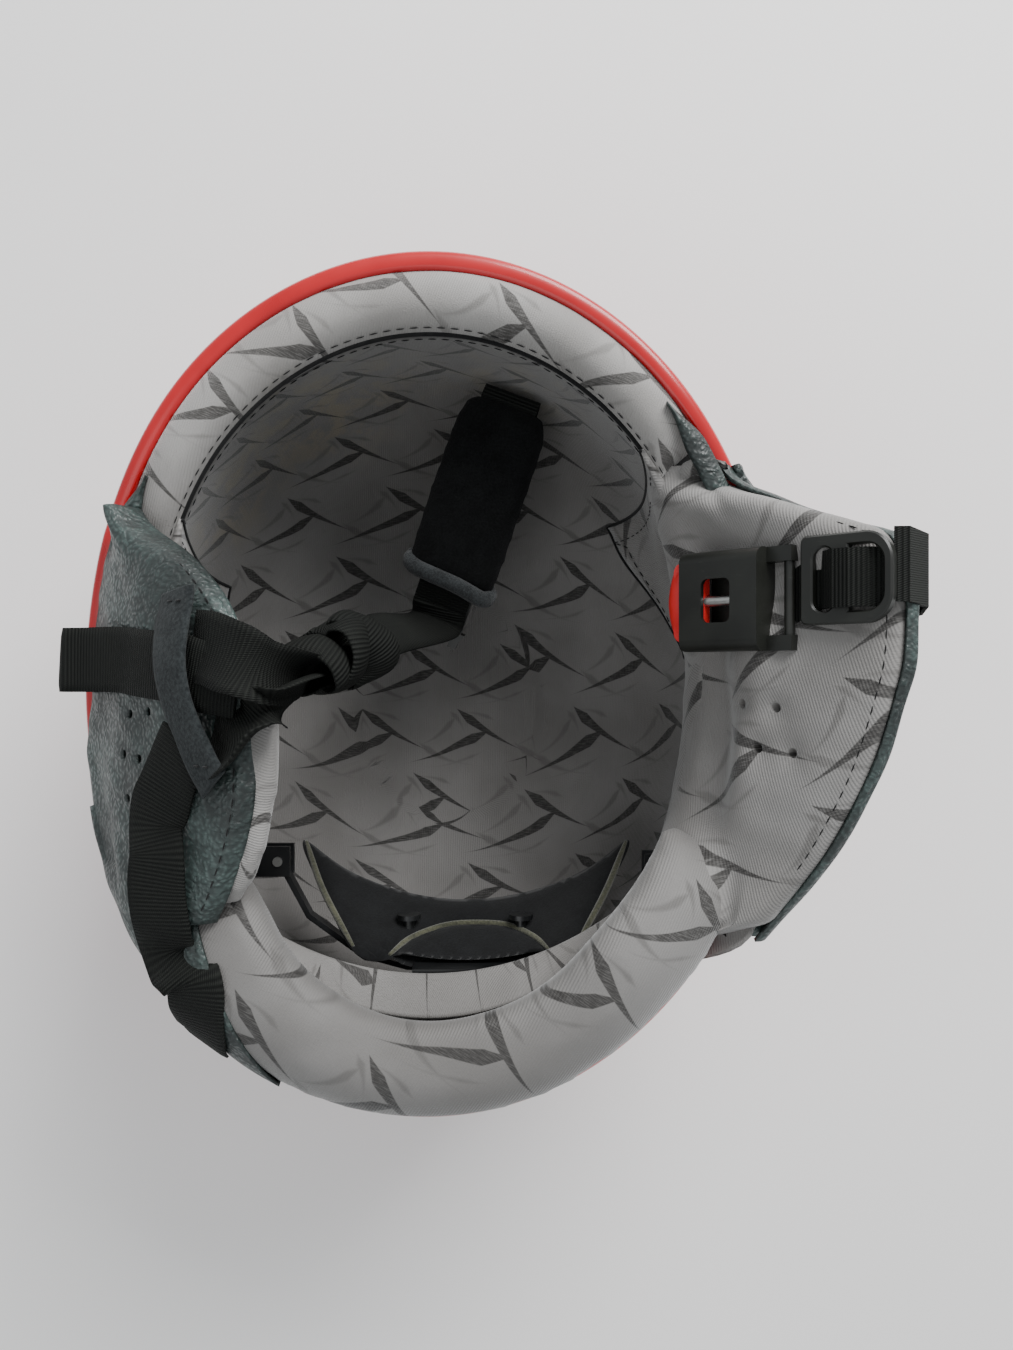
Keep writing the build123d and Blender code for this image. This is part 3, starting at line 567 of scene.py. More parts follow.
def leather_material():
    """Pebbled synthetic leather, near black, with a painted teal highlight on the tops of its grain that
    stands for a reflection of the sky.
    """
    sh = Shader("pebbled_leather", Specular_IOR_Level=0.55, Coat_Weight=0.12, Coat_Roughness=0.35)
    at = sh.place()
    swirl = sh.node("TexNoise", 1, {"Vector": at, "Scale": 160.0})
    swirl = sh.node("VectorMath", 0, {0: swirl, "Scale": 0.004}, operation="SCALE")
    warp = sh.node("VectorMath", 0, {0: at, 1: swirl}, operation="ADD")
    cells = sh.node("TexVoronoi", "Distance", {"Vector": warp, "Scale": 760.0, "Smoothness": 0.8},
                    feature="SMOOTH_F1")
    creases = sh.ramp(sh.noise(sh.scaled(at, (1, 1.8, 1)), 120.0, 4.0), 0.35, 0.6)
    tops = sh.ramp(cells, 0.8, 0.05)
    # Painted highlight: the pebble tops are coloured a lighter teal, and in noise patches the whole leather
    # is a lighter teal, as a painted sky reflection. In the crease hollows the tops keep only half of it,
    # as painted shade.
    sky_glint_patches = sh.ramp(sh.noise(at, 38.0, 3.0), 0.35, 0.68)
    low = sh.mix(sky_glint_patches, (0.008, 0.012, 0.0112, 1), (0.018, 0.028, 0.026, 1))
    high = sh.mix(sky_glint_patches, (0.018, 0.028, 0.026, 1), (0.055, 0.084, 0.077, 1))
    color = sh.mix(sh.math("MULTIPLY", tops, sh.ramp(creases, 0.0, 1.0, 0.5, 1.0)), low, high)
    rough = sh.ramp(tops, 0.0, 1.0, 0.62, 0.42)
    relief = sh.bump(creases, 0.25)
    return sh.finish(color=color, rough=rough, normal=sh.bump(tops, 0.3, relief))


def webbing_material(name, along=None):
    """Woven nylon webbing with ribs across it. along is the run's direction where it has no cloth map."""
    sh = Shader(name, Roughness=0.75, Specular_IOR_Level=0.2)
    if along is None:
        run, across = sh.split(sh.place("UV"))
    else:
        run = sh.node("VectorMath", 1, {0: sh.place(), 1: along}, operation="DOT_PRODUCT")
        across = sh.node("VectorMath", 1, {0: sh.place(), 1: (0, 1, 0)}, operation="DOT_PRODUCT")
    rib = sh.math("SINE", sh.math("MULTIPLY", run, 2 * math.pi / (WEB_RIB * MM)))
    slant = sh.math("ADD", across, sh.math("MULTIPLY", run, 0.5))
    twill = sh.math("SINE", sh.math("MULTIPLY", slant, 2 * math.pi / (WEB_TWILL * MM)))
    fluff = sh.noise(sh.place(), 900.0, 2.0)
    wear = sh.noise(sh.place(), 60.0, 3.0)
    height = sh.math("MULTIPLY_ADD", twill, 0.35, rib)
    shade = sh.ramp(sh.math("MULTIPLY_ADD", fluff, 1.4, height), -1.2, 2.2)
    deep = sh.mix(wear, (0.0012, 0.0015, 0.0012, 1), (0.003, 0.0035, 0.003, 1))
    lit = sh.mix(wear, (0.006, 0.007, 0.0058, 1), (0.013, 0.0145, 0.012, 1))
    return sh.finish(color=sh.mix(shade, deep, lit), normal=sh.bump(height, 0.16))


def napped(name, deep, lit, grain, depth, sheen, rough=0.95):
    """Brushed or napped cloth: mottled, matt and softly lit at its edges."""
    sh = Shader(name, Roughness=rough, Sheen_Weight=sheen, Sheen_Roughness=0.6, Specular_IOR_Level=0.15)
    at = sh.place()
    fine = sh.noise(at, grain, 4.0, 0.65)
    broad = sh.noise(at, grain / 9, 3.0)
    mottle = sh.math("ADD", sh.math("MULTIPLY", fine, 0.65), sh.math("MULTIPLY", broad, 0.35))
    shade = sh.ramp(mottle, 0.35, 0.65)
    return sh.finish(color=sh.mix(shade, deep, lit), normal=sh.bump(fine, depth))


def moulded(name, deep, lit, rough=0.42, grain=0.03, coat=0.0, scratch=0.25):
    """Moulded plastic with a fine spark grain, faint flow marks and small scuffs."""
    sh = Shader(name, Specular_IOR_Level=0.5, Coat_Weight=coat, Coat_Roughness=0.12)
    at = sh.place()
    flow = sh.noise(at, 45.0, 3.0)
    spark = sh.noise(at, 2600.0, 2.0)
    scuff = sh.ramp(sh.noise(sh.scaled(at, (1, 7, 2)), 150.0, 5.0, 0.7), 0.6, 0.74)
    color = sh.mix(sh.ramp(flow, 0.3, 0.7), deep, lit)
    scuffed = tuple(min(1, 2.2 * c + 0.03) for c in lit[:3]) + (1,)
    color = sh.mix(sh.math("MULTIPLY", scuff, scratch), color, scuffed)
    polish = sh.ramp(flow, 0.2, 0.8, rough - 0.06, rough + 0.08)
    polish = sh.math("ADD", polish, sh.math("MULTIPLY", scuff, 0.8 * scratch))
    return sh.finish(color=color, rough=polish, normal=sh.bump(spark, grain))


def metal(name, color, rough):
    """Brushed metal."""
    sh = Shader(name, Metallic=1.0)
    brushed = sh.noise(sh.scaled(sh.place(), (1, 14, 1)), 500.0, 3.0)
    shade = sh.mix(brushed, tuple(c * 0.8 for c in color) + (1,), color + (1,))
    polish = sh.ramp(brushed, 0.2, 0.8, rough, rough + 0.18)
    return sh.finish(color=shade, rough=polish, normal=sh.bump(brushed, 0.01))


def foam_material():
    """Bead foam, with a dimple between its beads that is painted darker there as shade."""
    sh = Shader("bead_foam", Roughness=0.85)
    beads = sh.node("TexVoronoi", "Distance", {"Vector": sh.place(), "Scale": 330.0}, feature="F1")
    tone = sh.ramp(beads, 0.1, 0.7)
    # Painted shade: the colour darkens from each bead's middle into the dimples between beads.
    return sh.finish(color=sh.mix(tone, gray(0.07), gray(0.022)), normal=sh.bump(tone, -0.3))


STAIN_COLOR = (0.30, 0.25, 0.16, 1)
STAINS = [                      # place and reach in metres, and strength, of each worn patch near the brow
    ((0.03, -0.092, 0.1), 0.05, 0.75),
    ((0.062, -0.07, 0.095), 0.035, 0.6),
    ((-0.02, -0.1, 0.1), 0.04, 0.5),
]
# The copies of the one printed cloth below differ in base brightness as painted light and shade: the brow
# rim is lightest as painted light, the right side is lighter than the left, and the crown liner and neck
# roll are darkest as painted shade. Their turn and scale only lay the print differently.
fabric = printed_fabric("printed_liner", 0.175, 0.022, stain=STAINS)
fabric_rim = printed_fabric("printed_rim", 0.30, 0.055, turn=0.35, sheen=0.5, stain=STAINS)
fabric_left = printed_fabric("printed_left", 0.215, 0.038, turn=1.25, scale=1.15)
fabric_right = printed_fabric("printed_right", 0.26, 0.045, turn=-0.6)
fabric_roll = printed_fabric("printed_roll", 0.165, 0.030, turn=0.5, scale=1.1)
fabric_rear = printed_fabric("printed_rear", 0.20, 0.035, turn=0.9, sheen=0.2)
leather = leather_material()
webbing = webbing_material("webbing")
webbing_left = webbing_material("webbing_left", (math.sin(FLAP_LEAN[-1]), 0, math.cos(FLAP_LEAN[-1])))
webbing_wall = webbing_material("webbing_wall", (0, 0, 1))
webbing_pad = webbing_material("webbing_pad", tuple(PAD_DOWN))
suede = napped("suede", (0.010, 0.012, 0.013, 1), (0.032, 0.037, 0.038, 1), 950.0, 0.25, 0.05)
fleece = napped("fleece", (0.0008, 0.0009, 0.001, 1), (0.0055, 0.006, 0.0062, 1), 1300.0, 0.5, 0.03)
fleece_fold = napped("fleece_fold", (0.004, 0.005, 0.0055, 1), (0.035, 0.04, 0.042, 1), 1500.0, 0.6, 0.2)
neoprene = napped("neoprene", (0.0015, 0.0016, 0.0018, 1), (0.0055, 0.006, 0.0065, 1), 1500.0, 0.1, 0.08)
piping_olive = napped("olive_piping", (0.022, 0.023, 0.013, 1), (0.075, 0.075, 0.045, 1), 1400.0, 0.2, 0.3)
thread = napped("dark_thread", (0.003, 0.003, 0.0035, 1), (0.010, 0.010, 0.010, 1), 1800.0, 0.1, 0.1)
shell_red = moulded("shell_red", (0.40, 0.003, 0.006, 1), (0.48, 0.005, 0.009, 1), 0.3, 0.004, 0.25, 0.0)
buckle_plastic = moulded("buckle_plastic", (0.007, 0.0075, 0.006, 1), (0.014, 0.015, 0.012, 1), 0.38, 0.012)
black_plastic = moulded("black_plastic", (0.004, 0.0045, 0.005, 1), (0.010, 0.0105, 0.011, 1), 0.3, 0.008)
button_red = moulded("button_red", (0.62, 0.018, 0.018, 1), (0.75, 0.03, 0.03, 1), 0.4, 0.01, 0.2, 0.1)
clip_rubber = napped("clip_rubber", (0.004, 0.004, 0.004, 1), (0.010, 0.010, 0.010, 1), 1500.0, 0.08, 0.05,
                     0.7)
steel = metal("plated_steel", (0.60, 0.60, 0.58), 0.25)
foam = foam_material()


# ---------------------------------------------------------------- cloth coordinates
PROFILE_Z = np.linspace(20.5, 190, 300)
PROFILE_R = radius(PROFILE_Z, 20)
PROFILE_S = np.r_[0, np.cumsum(np.hypot(np.diff(PROFILE_Z), np.diff(PROFILE_R)))]


def dome_cloth(points):
    """Cloth spread from the crown up the wall, keeping its length along the wall."""
    y = (points[:, 1] - LEAN * points[:, 2]) / STRETCH
    turn = np.arctan2(y, points[:, 0])
    run = np.interp(points[:, 2], PROFILE_Z, PROFILE_S)
    level = np.hypot(points[:, 0], y)
    run = np.where(points[:, 2] < 26, level, run)
    return np.stack([-run * np.cos(turn), -run * np.sin(turn) * STRETCH], 1)


def flat_cloth(points):
    return np.stack([-points[:, 0], -points[:, 1]], 1)


def flap_cloth(side):
    lean = FLAP_LEAN[side]

    def place(points):
        run = (side * points[:, 0] - HINGE_X) * -math.sin(lean) + (points[:, 2] - HINGE_Z) * math.cos(lean)
        return np.stack([-points[:, 1], run * side], 1)
    return place


# ---------------------------------------------------------------- helpers for the frame
def belongs(piece, body, nodes=()):
    """A piece that moves with one body."""
    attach(piece, body)
    declare(nodes)


def crosses(piece, nodes=()):
    """A soft piece across the joint between two bodies: its transform is baked into its mesh and the CAD
    nodes it replaces are hidden.
    """
    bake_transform(piece)
    declare(nodes)


def declare(nodes=()):
    if nodes:
        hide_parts(*nodes)


def paint(node, material):
    """Gives a kept CAD node a material."""
    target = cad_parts[node]
    if not target.material_slots:
        target.data.materials.append(material)
    for slot in target.material_slots:
        slot.material = material


# ---------------------------------------------------------------- shell
LIP = 5.4                       # width of the rounded lip round the rim
LIP_STEP = 1.1                  # the lip is this much wider behind the ends of the brim


def lip_width(angle, height):
    point = wall(angle, height)
    end = np.where(point[..., 0] > 0, BRIM_END[1], BRIM_END[-1])
    return LIP + LIP_STEP * ease(point[..., 1] - end, -1, 1)


def make_shell():
    angle = np.linspace(0, 2 * math.pi, 240, endpoint=False)
    top = rim(angle)
    lip = lip_width(angle, top)
    step = (lip - LIP) * 0.7
    zero = np.zeros_like(angle)
    rows = []
    for turn in np.linspace(math.pi / 2, 0, 30):
        rows.append((zero, EQUATOR - EQUATOR * math.sin(turn) ** (2 / FULLNESS) + zero))
    for share in np.linspace(0.12, 1, 9):
        rows.append((zero, EQUATOR + (top - 4.5 - EQUATOR) * share))
    rounding = [(0, -2.4), (0.2, -1.1), (0.8, -0.25), (1.8, 0.1)]
    for inset, rise in rounding:
        rows.append((inset + zero, top + rise + step))
    for inset, rise in [(1.7, 0.05), (0.7, -0.35), (0.15, -1.1), (0, -2.4), (0, -4.0)]:
        rows.append((lip - inset, top + rise + step * (rise > -3)))
    rows.append((SHELL_WALL + zero, top - 4.1))
    for share in np.linspace(0.95, 0, 8):
        rows.append((SHELL_WALL + zero, EQUATOR + (top - 6 - EQUATOR) * share))
    for turn in np.linspace(0, math.pi / 2, 24)[1:]:
        depth = (EQUATOR - SHELL_WALL) * math.sin(turn) ** (2 / FULLNESS)
        rows.append((SHELL_WALL + zero, EQUATOR - depth + zero))
    points = np.stack([wall(angle, height, inset) for inset, height in rows], 1)
    faces = grid_faces(len(angle), len(rows), wrap=True)
    shell = make_piece("shell", points.reshape(-1, 3), faces, shell_red)
    belongs(shell, "root", ["outer_shell"])


# ---------------------------------------------------------------- liner and brow
SEAM_INSET = 21.3
SEAM_DROP = 6.6


def make_liner():
    angle = np.linspace(0, 2 * math.pi, 220, endpoint=False)
    top = rim(angle) - SEAM_DROP
    face, back = [], []
    for share in np.linspace(1, 0.08, 9):
        height = EQUATOR + (top - EQUATOR) * share
        face.append(wall(angle, height, 21.4))
        back.append(wall(angle, height, 17.7))
    for turn in np.linspace(0, math.pi / 2, 40):
        for rows, inset in ((face, 21.4), (back, 17.7)):
            depth = (EQUATOR - inset) * math.sin(turn) ** (2 / FULLNESS)
            rows.append(wall(angle, EQUATOR - depth + 0 * angle, inset))
    face, back = np.stack(face, 1), np.stack(back, 1)
    swell = 0.5 * ripple(face, 46, 3) + 0.25 * ripple(face, 19, 4)
    middle = np.array([0, -12, 90.0]) - face
    middle /= np.linalg.norm(middle, axis=-1, keepdims=True)
    face = face + middle * swell[..., None]
    liner = slab("crown_lining", face, back, fabric, wrap=True)
    lay_print(liner, dome_cloth)
    belongs(liner, "root", ["crown_liner"])


def brow_angles(count):
    start = float(wall_angle(-60.0, 128.0, 10))
    end = -math.pi - float(wall_angle(-86.0, 133.0, 10))
    return np.linspace(start, end, count)


def make_brow():
    angle = brow_angles(150)
    top = rim(angle)
    section = [(5.3, -4.2), (5.2, -1.6), (7.4, 1.0), (11, 1.9), (15, 1.0), (18.4, -1.7), (20.4, -4.6),
               (21.2, -6.8)]    # (inset, rise) of its face, from the rim inwards
    under = [(5.6, -5.0), (7, -6.5), (10, -8), (13, -8.8), (16, -9.2), (18.5, -9.2), (20, -8.6),
             (20.9, -7.6)]
    columns = 22
    share = np.linspace(0, 1, len(angle))
    fade = np.sqrt(1 - (2 * share - 1) ** 14)
    grids = []
    for outline in (section, under):
        points = []
        for inset, rise in smooth_line(outline, columns):
            rise = (rise + 5.5) * fade - 5.5
            points.append(wall(angle, top + rise, inset + 0 * angle))
        grids.append(np.stack(points, 1))
    swell = 0.45 * ripple(grids[0], 30, 8) + 0.2 * ripple(grids[0], 9, 9)
    weight = np.sin(np.linspace(0, math.pi, columns))[None, :, None]
    grids[0][..., 2:] += swell[..., None] * weight
    brow = slab("brow_padding", grids[0], grids[1], fabric_rim)
    lay_print(brow, flat_cloth)
    belongs(brow, "root", ["brow_pad"])
    seam = wall(angle, top - SEAM_DROP + 0.6, SEAM_INSET - 0.1)
    belongs(tube("brow_piping", seam, 0.75, thread), "root")
    line = wall(angle, top - 3.2, 20.0)
    belongs(stitches("brow_stitches", line, thread, size=0.22), "root")
    tuck = wall(angle, top - SEAM_DROP - 2.6, 21.9)
    belongs(stitches("liner_stitches", tuck, thread, size=0.2), "root")


# ---------------------------------------------------------------- side panels inside the wall
PANEL_TOP_Y = {1: -66.0, -1: -87.0}     # front edge of the side panel, at the rim
PANEL_LOW = {1: (-50.0, 68.0), -1: (-74.0, 60.0)}   # its lowest corner: y and height


def panel_grid(side, along, up):
    """Place on the wall of a side panel: along from front to back, up from its lower edge to the rim."""
    low_y, low_z = PANEL_LOW[side]
    front = low_y + (PANEL_TOP_Y[side] - low_y) * up**1.2
    y = front + (54 - front) * along
    bottom = table(along, [(0, low_z), (0.12, low_z - 1), (0.3, low_z + 10), (0.55, 88), (1, 94)])
    angle = wall_angle(y, 128.0, 15)
    height = bottom + (rim(angle) - 3.5 - bottom) * up
    return wall_angle(y, height, 21), height


def make_side_panel(side):
    along, up = grids(np.linspace(0, 1, 46), np.linspace(0, 1, 22))
    angle, height = panel_grid(side, along, up)
    crown = (1 - np.abs(2 * along - 1) ** 8) * (1 - (1 - up) ** 5) * (1 - 0.55 * up**6)
    ear = ease(along, 0.35, 0.55) * 3.2
    face = wall(angle, height, 21.6) + inward(angle) * ((4.6 + ear) * crown + 0.3)[..., None]
    corner = wall(angle[0, -1], height[0, -1], 21.0)
    away = np.linalg.norm(face - corner, axis=-1)
    spoke = np.sin(15 * np.arctan2(face[..., 2] - corner[2] - 12, face[..., 1] - corner[1]))
    fold = 0.9 * spoke * ease(away, 6, 22) * (1 - ease(away, 40, 80)) + 0.4 * ripple(face, 17, 21)
    face = face + inward(angle) * (fold * crown)[..., None]
    back = wall(angle, height, 20.6 + 0 * height)
    face, back = mirrored(face, side), mirrored(back, side)
    name = "right" if side > 0 else "left"
    cloth = fabric_right if side > 0 else fabric_left
    panel = slab(f"side_panel_{name}", face, back, cloth)
    lay_print(panel, lambda p: np.stack([p[:, 2], p[:, 1]], 1))
    nodes = [f"temple_pad_{name}", f"ear_pad_base_{name}"]
    belongs(panel, "root", nodes)
    edge = np.concatenate([face[0, ::-1], face[1:, 0]])
    belongs(tube(f"panel_piping_{name}", edge, 0.6, thread), "root")
    row = np.concatenate([face[2, ::-1], face[3:, 2]])
    row = row + (np.array([0, 0, 60.0]) - row) * 0.004
    belongs(stitches(f"panel_stitches_{name}", row, thread, size=0.2), "root")


def make_trim(side, front, rear):
    """Leather strip that closes the padding along the rim, in front of an ear flap."""
    y, across = grids(np.linspace(front, rear, 40), np.linspace(-1, 1, 9))
    angle = wall_angle(y, RIM_HEIGHT, 8)
    wide = 0.4 + 3.0 * ease(y, front, front + 14)
    inset = LIP + 2.2 + across * wide
    height = rim(angle) + 2.2 + 2.8 * ease(y, front, rear) + 1.6 * (1 - across**2)
    face = wall(angle, height, inset)
    back = wall(angle, height - 1.6, inset)
    face, back = mirrored(face, side), mirrored(back, side)
    trim = slab("leather_trim_right" if side > 0 else "leather_trim_left", face, back, leather)
    belongs(trim, "root")


# ---------------------------------------------------------------- neck roll
ROLL_ENDS = (math.radians(24), math.radians(155))
ROLL_INNER = [(20, 38), (45, 37), (62, 30), (90, 25), (115, 26), (135, 29), (160, 30)]
ROLL_TOP = [(20, 17), (45, 15), (65, 12), (90, 11), (115, 12.5), (135, 14), (160, 12)]
ROLL_DEPTH = 20.0
ROLL_ROWS, ROLL_COLUMNS = 120, 49


def roll_point(angle, turn, grow=0.0):
    """Skin of the neck roll: turn 0 is its outer side, a quarter turn its top, a half turn its inside."""
    degrees = np.degrees(angle)
    inner = table(degrees, ROLL_INNER) + grow
    top = table(degrees, ROLL_TOP) + grow
    outer = -0.6 - grow
    share = (angle - ROLL_ENDS[0]) / (ROLL_ENDS[1] - ROLL_ENDS[0])
    size = np.maximum(1 - np.abs(2 * share - 1) ** 12, 0.02) ** 0.5
    middle, half = (outer + inner) / 2, (inner - outer) / 2
    inset = middle - half * np.sign(np.cos(turn)) * np.abs(np.cos(turn)) ** 0.8
    rise = np.where(np.sin(turn) > 0, top * size, ROLL_DEPTH * size) * np.sign(np.sin(turn))
    rise = rise * np.abs(np.sin(turn)) ** 0.85
    edge = rim(angle)
    height = edge + 0.8 + rise
    inset = np.where(height < edge + 0.3, np.maximum(inset, 5.8), inset)
    return wall(angle, height, inset)


def make_rear_skirt():
    """Pale cloth crescent from the foot of the neck roll forward over the adjuster's housing."""
    angle, share = grids(np.radians(np.linspace(40, 142, 80)), np.linspace(0, 1, 14))
    reach = np.clip(np.sin(math.pi * (np.degrees(angle) - 40) / 102), 0, 1) ** 0.8
    inset = 26 + 11.5 * reach * share
    height = 137 - 8 * share + 2.2 * (1 - share) * share
    face = wall(angle, height, inset)
    face[..., 2] += 0.8 * ripple(face, 22, 61) * np.sin(math.pi * share)
    back = face - inward(angle) * 0.7 - np.array([0, 0, 0.7])
    skirt = slab("rear_skirt", face, back, fabric_rear)
    lay_print(skirt, dome_cloth)
    belongs(skirt, "root")


def make_neck_roll():
    angle, turn = grids(np.linspace(*ROLL_ENDS, ROLL_ROWS), np.linspace(0, 2 * math.pi, ROLL_COLUMNS))
    skin = roll_point(angle, turn)
    spread = np.clip(np.sin(turn), 0, 1)
    crease = np.sin(9 * angle + 1.3 * np.sin(3 * angle)) * np.exp(-((turn - 2.5) / 0.5) ** 2)
    middle = skin.mean(1, keepdims=True)
    outward = skin - middle
    outward /= np.maximum(np.linalg.norm(outward, axis=-1, keepdims=True), 1e-6)
    swell = 0.7 * ripple(skin, 34, 31) * spread + 0.3 * ripple(skin, 11, 32) * spread + 0.8 * crease
    skin = skin + outward * (swell * (np.cos(turn) < 0.75))[..., None]
    faces = grid_faces(ROLL_ROWS, ROLL_COLUMNS)
    faces.append(list(range(ROLL_COLUMNS - 1)))
    faces.append([(ROLL_ROWS - 1) * ROLL_COLUMNS + i for i in reversed(range(ROLL_COLUMNS - 1))])
    roll = make_piece("neck_bolster", skin.reshape(-1, 3), faces, fabric_roll)
    inflate(roll, voxel=4.0, pressure=2.5, limit=1.6)
    lay_print(roll, flat_cloth)
    belongs(roll, "root", ["neck_roll"])
    strip_angle, strip_up = grids(np.radians(np.linspace(42, 142, 60)), np.linspace(0, 1, 10))
    height = 92 + (rim(strip_angle) - 22 - 92) * strip_up
    bulge = 2.2 * np.sin(math.pi * strip_up) ** 0.6
    face = wall(strip_angle, height, 22.4 + bulge + 0.3 * ripple(wall(strip_angle, height), 20, 5))
    lining = slab("rear_lining", face, wall(strip_angle, height, 21.3 + 0 * height), fabric_rear)
    lay_print(lining, dome_cloth)
    belongs(lining, "root")


# ---------------------------------------------------------------- right ear flap
# Outline of the lining, reach of the leather and places of the holes, all as y and height up the flap.
RIGHT_LINING = [(-54, 3), (-54, 16), (-42, 36), (-31, 49), (-20, 60), (-4, 64.5), (14, 64), (30, 60),
                (45, 52), (53, 36), (50, 14), (38, 2), (0, -2), (-34, -2)]
RIGHT_REACH = [(-70, 1), (-62, 10), (-52, 30), (-42, 44), (-32, 53), (-18, 59), (12, 61.5), (28, 58),
               (44, 50), (50, 46), (56, 42)]
RIGHT_HOLES = [(-6, 25), (-5, 15), (9, 29), (8, 20), (7, 12), (21, 22), (20, 13)]
COVER = 1.3                     # thickness of the leather


def right_leather(y, share):
    """Outer face of the folded leather flap: share runs from the shell's rim to the free edge."""
    reach = table(y, RIGHT_REACH)
    angle = wall_angle(y, RIM_HEIGHT)
    edge = rim(angle)
    outside = ease(y, -12, 12)      # the leather starts on top of the lip, and further back outside it
    stations = [
        wall(angle, edge + 1.0 - 6 * outside, 3.6 - 4.1 * outside),
        wall(angle, edge + 2.6 - 1.1 * outside, 3.4 - 3.9 * outside),
        wall(angle, edge + 7.5, 6.0 - 2 * outside),
        flap_point(1, y, np.minimum(8, 0.25 * reach), 12.6),
        flap_point(1, y, 0.45 * reach, 13.5),
        flap_point(1, y, 0.75 * reach, 11.5),
        flap_point(1, y, 0.95 * reach, 7.5),
        flap_point(1, y, reach, 2.5),
    ]
    count = share.shape[1]
    return smooth_rows(np.stack([s[:, 0] for s in stations], 1), count)


def make_right_flap():
    y, share = grids(np.linspace(-68, 54, 90), np.linspace(0, 1, 46))
    outer = right_leather(y, share)
    normal = normals_of(outer)
    puff = 1.0 * ripple(outer, 26, 41) + 0.5 * ripple(outer, 10, 42)
    outer = outer + normal * (puff * np.sin(math.pi * share) ** 0.7)[..., None]
    cover = slab("ear_leather_right", outer, outer - normal * COVER, leather)
    holes = [flap_point(1, a, b, 13.0) for a, b in RIGHT_HOLES]
    bore(cover, holes, flap_normal(1), 1.35, 12)
    span = flap_point(1, 0, -6, 0), flap_point(1, 0, 14, 0)
    crosses(cover, ["ear_flap_cover_right"])

    lining = outline_pad("ear_lining_right", RIGHT_LINING,
                         lambda a, b, out: flap_point(1, a, b, out - 1.5),
                         9.5, 8.0, fabric_right, power=3.2)
    inflate(lining, voxel=4.0, pressure=2.5, limit=1.8)
    lay_print(lining, flap_cloth(1))
    crosses(lining, ["ear_flap_right"])

    edge_y = np.linspace(-52, 50, 80)
    reach = table(edge_y, RIGHT_REACH)
    line = flap_point(1, edge_y, reach - 2.5, 8.0)
    seam = stitches("ear_stitches_right", line, thread, size=0.26)
    crosses(seam)

    # Leather carried back along the rim, over the end of the neck roll.
    angle, over = grids(np.radians(np.linspace(16, 66, 66)), np.linspace(0, 1, 24))
    last = table(np.degrees(angle), [(8, 100), (24, 104), (38, 94), (50, 74), (60, 40), (67, 4)])
    turn = np.radians(-24 + (last + 24) * over)
    tail = roll_point(angle, turn, 1.2)
    foot = wall(angle[:, 0], rim(angle[:, 0]) - 5, -0.6)
    tail[:, 0] = foot
    out = normals_of(tail)
    if (out * (tail - np.array([0, 0, 120.0]))).sum() < 0:   # away from the middle of the helmet
        out = -out
    tail = tail + out * (0.5 * ripple(tail, 18, 44) * np.sin(math.pi * over))[..., None]
    piece = slab("leather_tail_right", tail + out * 0.3, tail - out * 0.7, leather)
    belongs(piece, "root")


# ---------------------------------------------------------------- left ear flap
LEFT_REACH = [(-96, 0), (-88, 1), (-78, 5), (-66, 28), (-58.6, 48), (-54, 57), (-42, 61), (-23, 61),
              (-9.6, 58), (11, 51), (30, 41), (43, 32), (62, 16), (74, 5), (84, -1)]
LEFT_HOLES = [(-7, 26), (-8, 14), (6, 31), (5, 20)]


def left_section(y, count):
    """Inner lining of the open flap, from inside the wall over the rim to the free edge."""
    reach = table(y, LEFT_REACH)
    angle = wall_angle(y, 118.0, 26)

    def on_wall(height, inset):
        return mirrored(wall(wall_angle(y, height, inset), height, inset))
    edge = rim(angle)
    front = ease(y, -86, -62)
    stations = [
        on_wall(edge - 26, 20.5 + 5.5 * front),
        on_wall(edge - 14, 21 + 8 * front),
        on_wall(edge - 2, 19 + 6.5 * front),
        on_wall(edge + 1.5 + 5 * front, 11 + 5.5 * front),
        flap_point(-1, y, 0.22 * reach + 2, -9.0),
        flap_point(-1, y, 0.5 * reach + 1, -8.8),
        flap_point(-1, y, 0.8 * reach, -7.6),
        flap_point(-1, y, 0.97 * reach, -4.2),
        flap_point(-1, y, reach, 0.5),
    ]
    grid = smooth_rows(np.stack(stations, 1), count)
    # Towards the nape the lining is lifted by the end of the neck roll under it.
    share = np.linspace(0, 1, count)
    middle = ease(share, 0.1, 0.4) * (1 - 0.8 * ease(share, 0.6, 1.0))
    grid[..., 2] += 5 * ease(y, 36, 58)[:, None] * middle
    grid[..., 2] -= 7 * (1 - ease(y, -82, -66))[:, None]
    sunk = ease(y, 56, 70)[:, None]
    grid[..., 2] -= 15 * sunk
    grid[..., 0] += 15 * sunk * ease(share, 0.2, 0.6)
    return grid


